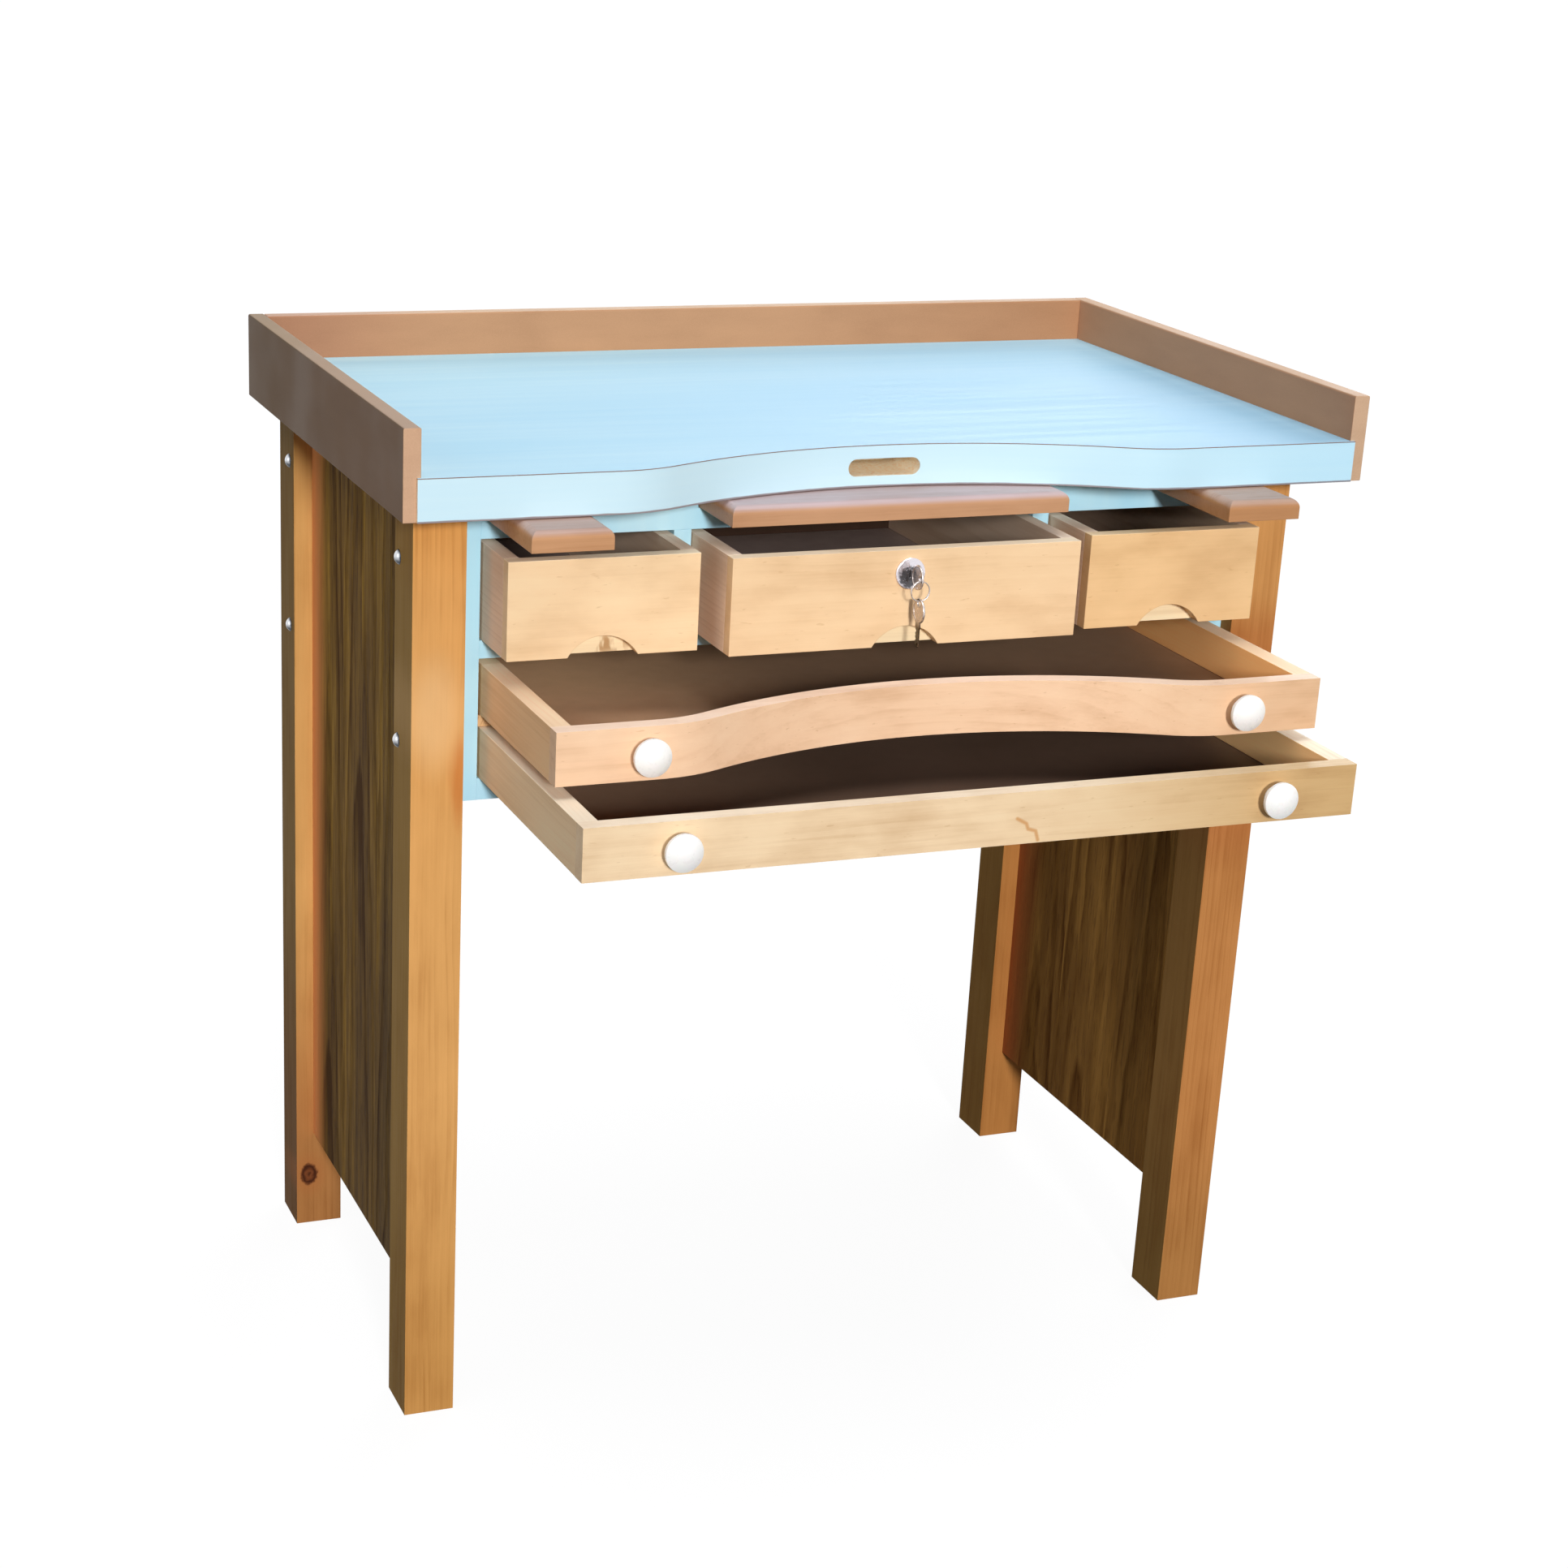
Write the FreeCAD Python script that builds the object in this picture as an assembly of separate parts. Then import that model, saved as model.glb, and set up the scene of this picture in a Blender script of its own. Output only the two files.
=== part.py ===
import FreeCAD, Part
import math
import os

# Jewellers bench with a recessed worktop, three pull-out boards, three drawers and two trays.
# Millimetres. +X is the sitter's right, +Y points to the back of the bench, +Z is up.
# Everything is laid out from a datum: X = 0 in the middle of the bench, Y = 0 at the front ends
# of the side boards, Z = 0 on the floor. The finished pieces are then moved along Y, so that
# the part's origin is on the floor, in the middle of its length and depth as it stands.
# The drawers, trays and pull-outs stand partly open, which is the rest pose.

# ---------------------------------------------------------------- driving dimensions
# Overall bench
bench_width = 1000.0
bench_depth = 600.0
leg_height = 957.0                 # floor to the worktop's underside

# Clearances
slide_gap = 0.3                    # under a piece that slides on a flat runner
side_gap = 2.0                     # beside a drawer, tray or armrest
groove_gap = 0.1                   # round a panel held in a groove
bore_gap = 0.05                    # radial, round a fixed pin, bolt or insert
turning_gap = 0.05                 # radial, round the turning lock plug

# Worktop
core_thickness = 40.0
laminate_thickness = 1.0
edge_band_thickness = 1.0
worktop_proud = 3.0                # the front edge stands in front of the side boards
recess_depth = 67.0
recess_radius = 540.0              # concave middle of the front edge
shoulder_radius = 143.0            # convex bends at both ends of the recess

# Bench-pin slot in the middle of the front edge
slot_width = 76.0
slot_height = 17.0
slot_depth = 70.0
slot_above_underside = 19.0        # underside of the worktop to the slot's centre

# Surround of three boards
surround_height = 86.0
surround_thickness = 17.0
surround_rebate = 4.0              # the worktop's core is housed this far into the boards
surround_edge_radius = 2.0

# Legs
leg_width = 52.0
leg_depth = 60.0
leg_side_inset = 32.0              # from the bench's side to the leg's outer face
leg_front_inset = 76.5
leg_back_inset = 7.0

# End panels, let into grooves in the legs
panel_thickness = 10.0
panel_inset = 20.0                 # from the leg's outer face
panel_bottom = 113.0
panel_groove_depth = 6.0

# Leg bolts and their threaded inserts
bolt_diameter = 8.0
bolt_head_diameter = 15.0
bolt_head_height = 4.5
bolt_neck_length = 4.0             # square neck under the head
insert_wall = 2.0                  # round the bolt
insert_cover = 2.0                 # from the insert's end to the carcass's inner face
lower_bolt_rise = 58.0             # over the carcass's lower edge
upper_bolt_drop = 62.0             # under the worktop
front_bolt_setback = 12.5          # from the rear face of the front leg
rear_bolt_setback = 20.0           # from the front face of the rear leg

# Carcass
carcass_setback = 20.5             # from the legs' front faces to the carcass's front edge
carcass_back_inset = 22.0          # from the bench's back to the carcass's back panel
carcass_side_thickness = 20.0
carcass_bottom_thickness = 22.0
shelf_thickness = 18.0
partition_thickness = 18.0
carcass_back_thickness = 5.0
rail_thickness = 18.0
rail_web_height = 20.7             # the rail's height under the pull-outs

# Trays
tray_rear_gap = 36.0               # behind a closed tray
tray_height = 51.0
tray_front_thickness = 18.0
tray_side_thickness = 20.0
tray_back_thickness = 18.0
tray_bottom_thickness = 4.0
tray_bottom_rise = 7.0             # from the tray's lower edge to its bottom panel
tray_groove_depth = 6.0
tray_runner_height = 11.5
tray_runner_width = 18.0
runner_headroom = 0.7              # between the lower tray and the runner over it
tray_headroom = 4.9                # between the upper tray and the drawer shelf
upper_tray_pulled = 227.0          # from closed to the rest pose
lower_tray_pulled = 305.5

# Tray knobs and their screws
knob_diameter = 36.0
knob_projection = 22.0
knob_foot_diameter = 20.0
knob_foot_height = 2.5
knob_neck_diameter = 15.0
knob_head_thickness = 14.0
knob_back_bevel = 4.0              # height of the slope from the neck to the rim
knob_dome_height = 6.0             # height of the domed front over the rim
knob_screw_diameter = 4.0
knob_screw_head_diameter = 8.0
knob_screw_head_height = 2.6
knob_screw_reach = 12.0            # into the knob
upper_knob_beside_bend = 12.0      # from the end of the front's bend to the knob's middle
lower_knob_inset = 90.0            # from the tray's end to the knob's middle

# Drawers
drawer_rear_gap = 56.0             # behind a closed drawer
drawer_height = 95.0
drawer_front_thickness = 15.0
drawer_side_thickness = 15.0
drawer_back_thickness = 12.0
drawer_bottom_thickness = 4.0
drawer_bottom_rise = 8.0
drawer_groove_depth = 5.0
centre_drawer_width = 366.0
partition_gap = 1.0                # between the centre drawer and a partition
drawer_headroom = 3.0              # under the front rail
inner_front_thickness = 10.0
inner_front_below_top = 45.0       # from the drawer's upper edge down to the inner front's
notch_width = 70.0
notch_height = 20.0
left_drawer_pulled = 78.5
centre_drawer_pulled = 106.5
right_drawer_pulled = 88.5

# Pull-outs under the worktop
pull_out_thickness = 20.0
pull_out_rear_gap = 68.0           # behind a closed pull-out
pull_out_headroom = 1.0            # under the worktop
pull_out_edge_radius = 9.0
pull_out_side_gap = 1.0
closed_nose_proud = 22.0           # in front of the carcass when pushed home
armrest_width = 79.0
guide_wall = 6.0
guide_lip = 10.0                   # under the edge of the board
guide_lip_thickness = 8.0
left_armrest_pulled = 123.0
right_armrest_pulled = 134.5
centre_slide_pulled = 64.0

# Cam lock of the centre drawer
lock_below_top = 23.0              # from the drawer's upper edge to the lock's axis
lock_flange_diameter = 31.0
lock_flange_thickness = 2.5
lock_flange_edge = 1.2
lock_barrel_diameter = 19.0
lock_barrel_length = 23.0
lock_nut_across_flats = 24.0
lock_nut_thickness = 4.0
plug_diameter = 12.0
plug_recess = 0.5
tail_width = 6.0
cam_gap = 0.3
cam_thickness = 2.0
cam_width = 14.0
cam_length = 32.0
tail_stake = 1.0

# Keys and ring
key_thickness = 2.0
key_bow_diameter = 24.0
key_hole_diameter = 6.0
key_hole_offset = 7.5              # from the bow's centre to the hole
key_neck_width = 9.0
key_neck_length = 4.0
key_blade_width = 7.0
key_blade_length = 20.0
key_cut_depth = 1.6
key_cut_count = 4
ring_diameter = 19.0               # to the middle of the wire
ring_wire_diameter = 1.3
ring_rest_gap = 0.3

# ---------------------------------------------------------------- derived places
half_width = bench_width / 2
core_top = leg_height + core_thickness
worktop_top = core_top + laminate_thickness
surround_inner_x = half_width - surround_thickness
surround_inner_y = bench_depth - surround_thickness
surround_top = leg_height + surround_height
worktop_half = surround_inner_x + surround_rebate
worktop_front = -worktop_proud
worktop_back = surround_inner_y + surround_rebate
worktop_recess_y = worktop_front + recess_depth
recess_reach = recess_radius + shoulder_radius
shoulder_x = math.sqrt(2 * recess_depth * recess_reach - recess_depth ** 2)
slot_height_z = leg_height + slot_above_underside

leg_outer_x = half_width - leg_side_inset
leg_inner_x = leg_outer_x - leg_width
front_leg_y = leg_front_inset
rear_leg_y = bench_depth - leg_back_inset - leg_depth
panel_outer_x = leg_outer_x - panel_inset
carcass_outer_x = leg_inner_x
carcass_inner_x = carcass_outer_x - carcass_side_thickness
carcass_front = front_leg_y + carcass_setback
carcass_back_y = bench_depth - carcass_back_inset - carcass_back_thickness
carcass_depth = carcass_back_y - carcass_front
rail_back_y = carcass_front + rail_thickness

# Heights, from the worktop's underside down to the carcass's lower edge
pull_out_top = leg_height - pull_out_headroom
pull_out_z = pull_out_top - pull_out_thickness
guide_top = pull_out_z - slide_gap
guide_bottom = guide_top - guide_lip_thickness
rail_bottom = guide_top - rail_web_height
drawer_top = rail_bottom - drawer_headroom
drawer_z = drawer_top - drawer_height
shelf_top = drawer_z - slide_gap
shelf_bottom = shelf_top - shelf_thickness
upper_tray_z = shelf_bottom - tray_headroom - tray_height
runner_top = upper_tray_z - slide_gap
runner_z = runner_top - tray_runner_height
lower_tray_z = runner_z - runner_headroom - tray_height
carcass_floor = lower_tray_z - slide_gap
carcass_bottom = carcass_floor - carcass_bottom_thickness
bolt_heights = (carcass_bottom + lower_bolt_rise, leg_height - upper_bolt_drop)
insert_diameter = bolt_diameter + 2 * insert_wall
insert_length = carcass_side_thickness - insert_cover

tray_depth = carcass_depth - tray_rear_gap
tray_half = carcass_inner_x - side_gap
upper_tray_front = carcass_front - upper_tray_pulled
lower_tray_front = carcass_front - lower_tray_pulled
upper_knob_offset = shoulder_x + upper_knob_beside_bend
lower_knob_offset = tray_half - lower_knob_inset

drawer_depth = carcass_depth - drawer_rear_gap
inner_front_top = drawer_top - inner_front_below_top
partition_inner_x = centre_drawer_width / 2 + partition_gap
partition_outer_x = partition_inner_x + partition_thickness
side_drawer_inner_x = partition_outer_x + side_gap
side_drawer_outer_x = carcass_inner_x - side_gap

closed_nose_y = carcass_front - closed_nose_proud
pull_out_length = carcass_back_y - pull_out_rear_gap - closed_nose_y
armrest_outer_x = carcass_inner_x - side_gap
armrest_inner_x = armrest_outer_x - armrest_width
armrest_guide_x = armrest_inner_x - pull_out_side_gap
centre_slide_half = partition_inner_x - guide_wall - pull_out_side_gap
centre_guide_x = centre_slide_half + pull_out_side_gap

centre_drawer_front = carcass_front - centre_drawer_pulled
lock_z = drawer_top - lock_below_top
lock_face_y = centre_drawer_front - lock_flange_thickness
plug_face_y = lock_face_y + plug_recess
barrel_end_y = centre_drawer_front + lock_barrel_length
key_hole_y = plug_face_y - key_neck_length - key_bow_diameter / 2 - key_hole_offset
hole_to_wire = (key_hole_diameter - ring_wire_diameter) / 2 - ring_rest_gap
ring_centre_z = lock_z - hole_to_wire - ring_diameter / 2
spare_hole_z = ring_centre_z - ring_diameter / 2 - hole_to_wire

# The trays' knobs reach furthest forward, and the back board furthest back.
foremost_y = min(lower_tray_front, upper_tray_front) - knob_projection
origin_y = (foremost_y + bench_depth) / 2

nearly_zero = 0.01                 # tolerance for picking edges by their place
X_AXIS = FreeCAD.Vector(1, 0, 0)
Y_AXIS = FreeCAD.Vector(0, 1, 0)
Z_AXIS = FreeCAD.Vector(0, 0, 1)
nodes = {}


# ---------------------------------------------------------------- shape helpers
def box(x0, x1, y0, y1, z0, z1):
    return Part.makeBox(x1 - x0, y1 - y0, z1 - z0, FreeCAD.Vector(x0, y0, z0))


def rod(diameter, length, start, axis):
    return Part.makeCylinder(diameter / 2, length, FreeCAD.Vector(*start), axis)


def mirrored(shape):
    """The same piece on the other side of the bench."""
    return shape.mirror(FreeCAD.Vector(0, 0, 0), X_AXIS)


def both_sides(shape):
    return [shape, mirrored(shape)]


def add(name, *solids):
    """File one node, holding one solid or a group of separate solids."""
    nodes[name] = solids[0] if len(solids) == 1 else Part.makeCompound(list(solids))


def add_left_and_right(name, right_shape):
    add(name + "_left", mirrored(right_shape))
    add(name + "_right", right_shape)


def round_edges(shape, radius, wanted):
    edges = [edge for edge in shape.Edges if wanted(edge.BoundBox)]
    return shape.makeFillet(radius, edges)


def through_arc(centre, radius, start_angle, end_angle):
    """An arc in the XY plane, given by its centre and two angles in radians."""
    angles = (start_angle, (start_angle + end_angle) / 2, end_angle)
    points = [centre + FreeCAD.Vector(math.cos(a), math.sin(a), 0) * radius for a in angles]
    return Part.Arc(*points).toShape()


def recessed_front(half, front_y, setback):
    """Edges of the recessed front line, from left to right.

    The line is straight, bends back over a convex shoulder into the concave middle, and
    comes forward again. A setback gives the parallel line that far behind it.
    """
    middle = FreeCAD.Vector(0, front_y + recess_depth - recess_radius, 0)
    left = FreeCAD.Vector(-shoulder_x, front_y + shoulder_radius, 0)
    right = FreeCAD.Vector(shoulder_x, front_y + shoulder_radius, 0)
    lean = math.asin(shoulder_x / recess_reach)
    straight_down = -math.pi / 2
    straight_up = math.pi / 2
    bend = shoulder_radius - setback
    left_end = FreeCAD.Vector(-half, front_y + setback, 0)
    right_end = FreeCAD.Vector(half, front_y + setback, 0)
    left_tangent = FreeCAD.Vector(-shoulder_x, front_y + setback, 0)
    right_tangent = FreeCAD.Vector(shoulder_x, front_y + setback, 0)
    return [
        Part.LineSegment(left_end, left_tangent).toShape(),
        through_arc(left, bend, straight_down, straight_down + lean),
        through_arc(middle, recess_radius + setback, straight_up + lean, straight_up - lean),
        through_arc(right, bend, straight_down - lean, straight_down),
        Part.LineSegment(right_tangent, right_end).toShape(),
    ]


def corner_of(edges, first):
    """The free end of a chain of edges: its leftmost or its rightmost point."""
    points = [vertex.Point for edge in edges for vertex in edge.Vertexes]
    return min(points, key=lambda p: p.x) if first else max(points, key=lambda p: p.x)


def raised(edges, z, height):
    wire = Part.Wire(Part.__sortEdges__(edges))
    face = Part.Face(wire)
    face.translate(Z_AXIS * z)
    return face.extrude(Z_AXIS * height)


def recessed_board(half, front_y, setback, back_y, z, height):
    """A flat board whose front edge is the recessed line."""
    front = recessed_front(half, front_y, setback)
    back_left = FreeCAD.Vector(-half, back_y, 0)
    back_right = FreeCAD.Vector(half, back_y, 0)
    ends = [
        Part.LineSegment(corner_of(front, False), back_right).toShape(),
        Part.LineSegment(back_right, back_left).toShape(),
        Part.LineSegment(back_left, corner_of(front, True)).toShape(),
    ]
    return raised(front + ends, z, height)


def recessed_strip(half, front_y, thickness, z, height):
    """An upright strip bent to the recessed line."""
    front = recessed_front(half, front_y, 0)
    back = recessed_front(half, front_y, thickness)
    ends = [
        Part.LineSegment(corner_of(front, True), corner_of(back, True)).toShape(),
        Part.LineSegment(corner_of(front, False), corner_of(back, False)).toShape(),
    ]
    return raised(front + back + ends, z, height)


# ---------------------------------------------------------------- frame
def leg(leg_y, bolt_y, groove_y):
    """One right-hand leg, with its groove for the end panel and its two bolt holes."""
    shape = box(leg_inner_x, leg_outer_x, leg_y, leg_y + leg_depth, 0, leg_height)
    groove = box(
        panel_outer_x - panel_thickness - groove_gap, panel_outer_x + groove_gap,
        groove_y, groove_y + panel_groove_depth, panel_bottom, leg_height)
    shape = shape.cut(groove)
    hole_diameter = bolt_diameter + 2 * bore_gap
    neck_half = bolt_diameter / 2 + groove_gap
    for z in bolt_heights:
        shape = shape.cut(rod(hole_diameter, leg_width, (leg_inner_x, bolt_y, z), X_AXIS))
        shape = shape.cut(box(
            leg_outer_x - bolt_neck_length, leg_outer_x,
            bolt_y - neck_half, bolt_y + neck_half, z - neck_half, z + neck_half))
    return shape


def leg_bolt(bolt_y, z):
    """Dome head, square neck and shank, driven inwards from the leg's outer face."""
    head_radius = bolt_head_diameter / 2
    dome_radius = (head_radius ** 2 + bolt_head_height ** 2) / (2 * bolt_head_height)
    dome_centre = FreeCAD.Vector(leg_outer_x + bolt_head_height - dome_radius, bolt_y, z)
    dome = Part.makeSphere(dome_radius, dome_centre)
    keep = box(
        leg_outer_x, leg_outer_x + bolt_head_height,
        bolt_y - head_radius, bolt_y + head_radius, z - head_radius, z + head_radius)
    head = dome.common(keep)
    half = bolt_diameter / 2
    neck = box(
        leg_outer_x - bolt_neck_length, leg_outer_x,
        bolt_y - half, bolt_y + half, z - half, z + half)
    shank_start = carcass_outer_x - insert_length
    shank = rod(bolt_diameter, leg_outer_x - shank_start, (shank_start, bolt_y, z), X_AXIS)
    return head.fuse(neck).fuse(shank).removeSplitter()


def bolt_insert(bolt_y, z):
    start = (carcass_outer_x - insert_length, bolt_y, z)
    sleeve = rod(insert_diameter, insert_length, start, X_AXIS)
    return sleeve.cut(rod(bolt_diameter + 2 * bore_gap, insert_length, start, X_AXIS))


front_leg_inner_y = front_leg_y + leg_depth
front_bolt_y = front_leg_inner_y - front_bolt_setback
rear_bolt_y = rear_leg_y + rear_bolt_setback
bolt_places = [(y, z) for y in (front_bolt_y, rear_bolt_y) for z in bolt_heights]
add_left_and_right("leg_front", leg(front_leg_y, front_bolt_y, front_leg_inner_y - panel_groove_depth))
add_left_and_right("leg_rear", leg(rear_leg_y, rear_bolt_y, rear_leg_y))
add_left_and_right("end_panel", box(
    panel_outer_x - panel_thickness, panel_outer_x,
    front_leg_inner_y - panel_groove_depth + groove_gap, rear_leg_y + panel_groove_depth - groove_gap,
    panel_bottom, leg_height))
add("frame_bolts", *[side for place in bolt_places for side in both_sides(leg_bolt(*place))])
add("bolt_inserts", *[side for place in bolt_places for side in both_sides(bolt_insert(*place))])


# ---------------------------------------------------------------- worktop and surround
def pin_slot():
    """The bench-pin slot as a solid with round ends, from in front of the edge inwards."""
    length = slot_depth + recess_depth
    start_y = worktop_recess_y + slot_depth - length
    flat_half = (slot_width - slot_height) / 2
    radius = slot_height / 2
    shape = box(
        -flat_half, flat_half, start_y, start_y + length,
        slot_height_z - radius, slot_height_z + radius)
    for x in (-flat_half, flat_half):
        shape = shape.fuse(rod(slot_height, length, (x, start_y, slot_height_z), Y_AXIS))
    return shape.removeSplitter()


def side_board():
    """The right-hand board: its lower inner part is rebated over the core's end."""
    board = box(surround_inner_x, half_width, 0, bench_depth, leg_height, surround_top)
    board = board.cut(box(surround_inner_x, worktop_half, 0, worktop_back, leg_height, core_top))

    def long_and_on_top(b):
        return b.ZMin > surround_top - nearly_zero and b.YLength > surround_thickness

    return round_edges(board, surround_edge_radius, long_and_on_top)


def back_board():
    board = box(
        -surround_inner_x, surround_inner_x, surround_inner_y, bench_depth, leg_height, surround_top)
    board = board.cut(box(
        -surround_inner_x, surround_inner_x, surround_inner_y, worktop_back, leg_height, core_top))

    def long_and_on_top(b):
        return b.ZMin > surround_top - nearly_zero and b.XLength > surround_thickness

    return round_edges(board, surround_edge_radius, long_and_on_top)


def laminate():
    """The top skin lies between the boards, and is full width only in front of them."""
    sheet = recessed_board(
        worktop_half, worktop_front, 0, surround_inner_y, core_top, laminate_thickness)
    under_board = box(surround_inner_x, worktop_half, 0, surround_inner_y, core_top, worktop_top)
    return sheet.cut(under_board).cut(mirrored(under_board))


core = recessed_board(
    worktop_half, worktop_front, edge_band_thickness, worktop_back, leg_height, core_thickness)
edge_band = recessed_strip(
    worktop_half, worktop_front, edge_band_thickness, leg_height, core_thickness)
add("worktop_core", core.cut(pin_slot()))
add("worktop_edge_band", edge_band.cut(pin_slot()))
add("worktop_laminate", laminate())
add_left_and_right("surround", side_board())
add("surround_back", back_board())


# ---------------------------------------------------------------- carcass
def carcass_side():
    shape = box(
        carcass_inner_x, carcass_outer_x, carcass_front, carcass_back_y,
        carcass_bottom, leg_height)
    hole_diameter = insert_diameter + 2 * bore_gap
    for y, z in bolt_places:
        start = (carcass_outer_x - insert_length, y, z)
        shape = shape.cut(rod(hole_diameter, insert_length, start, X_AXIS))
    return shape


def partition():
    """Upright board between two drawers, notched at its top front corner for the rail."""
    shape = box(
        partition_inner_x, partition_outer_x, carcass_front, carcass_back_y, shelf_top, leg_height)
    notch = box(
        partition_inner_x, partition_outer_x, carcass_front, rail_back_y,
        rail_bottom, leg_height)
    return shape.cut(notch)


def front_rail():
    """Rail under the worktop's front, notched from above where the pull-outs pass."""
    shape = box(
        -carcass_inner_x, carcass_inner_x, carcass_front, rail_back_y,
        rail_bottom, leg_height)
    passages = [
        (-centre_guide_x, centre_guide_x),
        (armrest_guide_x, carcass_inner_x),
        (-carcass_inner_x, -armrest_guide_x),
    ]
    for x0, x1 in passages:
        shape = shape.cut(box(x0, x1, carcass_front, rail_back_y, guide_top, leg_height))
    return shape


def lipped_guide(board_x, wall_sign):
    """Guide with a wall beside the pull-out and a lip under its edge.

    board_x is the guide's face towards the board, and the wall stands on its wall_sign side.
    """
    wall_x = board_x + wall_sign * guide_wall
    lip_x = board_x - wall_sign * guide_lip
    wall = box(
        min(board_x, wall_x), max(board_x, wall_x), rail_back_y, carcass_back_y,
        guide_bottom, leg_height)
    lip = box(
        min(lip_x, wall_x), max(lip_x, wall_x), rail_back_y, carcass_back_y,
        guide_bottom, guide_top)
    return wall.fuse(lip).removeSplitter()


add("carcass_sides", *both_sides(carcass_side()))
add("carcass_bottom", box(
    -carcass_inner_x, carcass_inner_x, carcass_front, carcass_back_y,
    carcass_bottom, carcass_floor))
add("drawer_shelf", box(
    -carcass_inner_x, carcass_inner_x, carcass_front, carcass_back_y,
    shelf_bottom, shelf_top))
add("drawer_partitions", *both_sides(partition()))
add("carcass_back", box(
    -carcass_outer_x, carcass_outer_x, carcass_back_y, carcass_back_y + carcass_back_thickness,
    carcass_bottom, leg_height))
add("front_rail", front_rail())
add("tray_runners", *both_sides(box(
    carcass_inner_x - tray_runner_width, carcass_inner_x, carcass_front, carcass_back_y,
    runner_z, runner_top)))
side_cleat = box(
    carcass_inner_x - side_gap - guide_lip, carcass_inner_x, rail_back_y, carcass_back_y,
    guide_bottom, guide_top)
add("armrest_guides", *(both_sides(lipped_guide(armrest_guide_x, -1)) + both_sides(side_cleat)))
add("centre_slide_guides", *both_sides(lipped_guide(centre_guide_x, 1)))


# ---------------------------------------------------------------- pull-outs
def pull_out(x0, x1, pulled):
    """Board with its upper front and side edges rounded over."""
    nose_y = closed_nose_y - pulled
    board = box(x0, x1, nose_y, nose_y + pull_out_length, pull_out_z, pull_out_top)

    def upper_front_or_side(b):
        on_top = b.ZMin > pull_out_top - nearly_zero
        at_back = b.YMin > nose_y + pull_out_length - nearly_zero
        return on_top and not at_back

    return round_edges(board, pull_out_edge_radius, upper_front_or_side)


add("left_armrest", pull_out(-armrest_outer_x, -armrest_inner_x, left_armrest_pulled))
add("right_armrest", pull_out(armrest_inner_x, armrest_outer_x, right_armrest_pulled))
add("centre_slide", pull_out(-centre_slide_half, centre_slide_half, centre_slide_pulled))


# ---------------------------------------------------------------- drawers
def add_drawer(name, x0, x1, pulled, has_lock):
    """A box of boards: the front laps the ends of the sides, the back is between them."""
    front_y = carcass_front - pulled
    side_y = front_y + drawer_front_thickness
    inner_y = side_y + inner_front_thickness
    end_y = front_y + drawer_depth
    back_y = end_y - drawer_back_thickness
    in0 = x0 + drawer_side_thickness
    in1 = x1 - drawer_side_thickness
    bottom_z = drawer_z + drawer_bottom_rise
    panel = box(
        in0 - drawer_groove_depth + groove_gap, in1 + drawer_groove_depth - groove_gap,
        inner_y - drawer_groove_depth + groove_gap, back_y + drawer_groove_depth - groove_gap,
        bottom_z, bottom_z + drawer_bottom_thickness)
    groove = box(
        in0 - drawer_groove_depth, in1 + drawer_groove_depth,
        inner_y - drawer_groove_depth, back_y + drawer_groove_depth,
        bottom_z - groove_gap, bottom_z + drawer_bottom_thickness + groove_gap)

    front = box(x0, x1, front_y, side_y, drawer_z, drawer_top)
    middle_x = (x0 + x1) / 2
    notch_radius = (notch_height ** 2 + (notch_width / 2) ** 2) / (2 * notch_height)
    notch_start = (middle_x, front_y, drawer_z + notch_height - notch_radius)
    front = front.cut(rod(2 * notch_radius, drawer_front_thickness, notch_start, Y_AXIS))
    if has_lock:
        barrel_hole = lock_barrel_diameter + 2 * bore_gap
        hole_start = (middle_x, front_y, lock_z)
        front = front.cut(rod(barrel_hole, drawer_front_thickness, hole_start, Y_AXIS))

    left_side = box(x0, in0, side_y, end_y, drawer_z, drawer_top)
    right_side = box(in1, x1, side_y, end_y, drawer_z, drawer_top)
    inner_front = box(in0, in1, side_y, inner_y, drawer_z, inner_front_top)
    back = box(in0, in1, back_y, end_y, drawer_z, drawer_top)
    add(name + "_front", front)
    add(name + "_inner_front", inner_front.cut(groove))
    add(name + "_sides", left_side.cut(groove), right_side.cut(groove))
    add(name + "_back", back.cut(groove))
    add(name + "_bottom", panel)


add_drawer("left_drawer", -side_drawer_outer_x, -side_drawer_inner_x, left_drawer_pulled, False)
add_drawer("centre_drawer", -centre_drawer_width / 2, centre_drawer_width / 2, centre_drawer_pulled, True)
add_drawer("right_drawer", side_drawer_inner_x, side_drawer_outer_x, right_drawer_pulled, False)


# ---------------------------------------------------------------- lock, keys and ring
def lock_cylinder():
    """Flange on the drawer's face and a barrel through it, bored for the plug."""
    flange = rod(lock_flange_diameter, lock_flange_thickness, (0, lock_face_y, lock_z), Y_AXIS)
    flange = round_edges(flange, lock_flange_edge, lambda b: b.YMax < lock_face_y + nearly_zero)
    barrel = rod(lock_barrel_diameter, lock_barrel_length, (0, centre_drawer_front, lock_z), Y_AXIS)
    length = barrel_end_y - lock_face_y
    bore = rod(plug_diameter + 2 * turning_gap, length, (0, lock_face_y, lock_z), Y_AXIS)
    return flange.fuse(barrel).cut(bore)


def lock_nut():
    start_y = centre_drawer_front + drawer_front_thickness
    radius = lock_nut_across_flats / math.sqrt(3)
    middle = FreeCAD.Vector(0, start_y, lock_z)
    turns = [i * math.pi / 3 for i in range(7)]
    corners = [middle + FreeCAD.Vector(math.sin(a), 0, math.cos(a)) * radius for a in turns]
    hexagon = Part.Face(Part.makePolygon(corners)).extrude(Y_AXIS * lock_nut_thickness)
    hole = lock_barrel_diameter + 2 * bore_gap
    return hexagon.cut(rod(hole, lock_nut_thickness, (0, start_y, lock_z), Y_AXIS))


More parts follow.
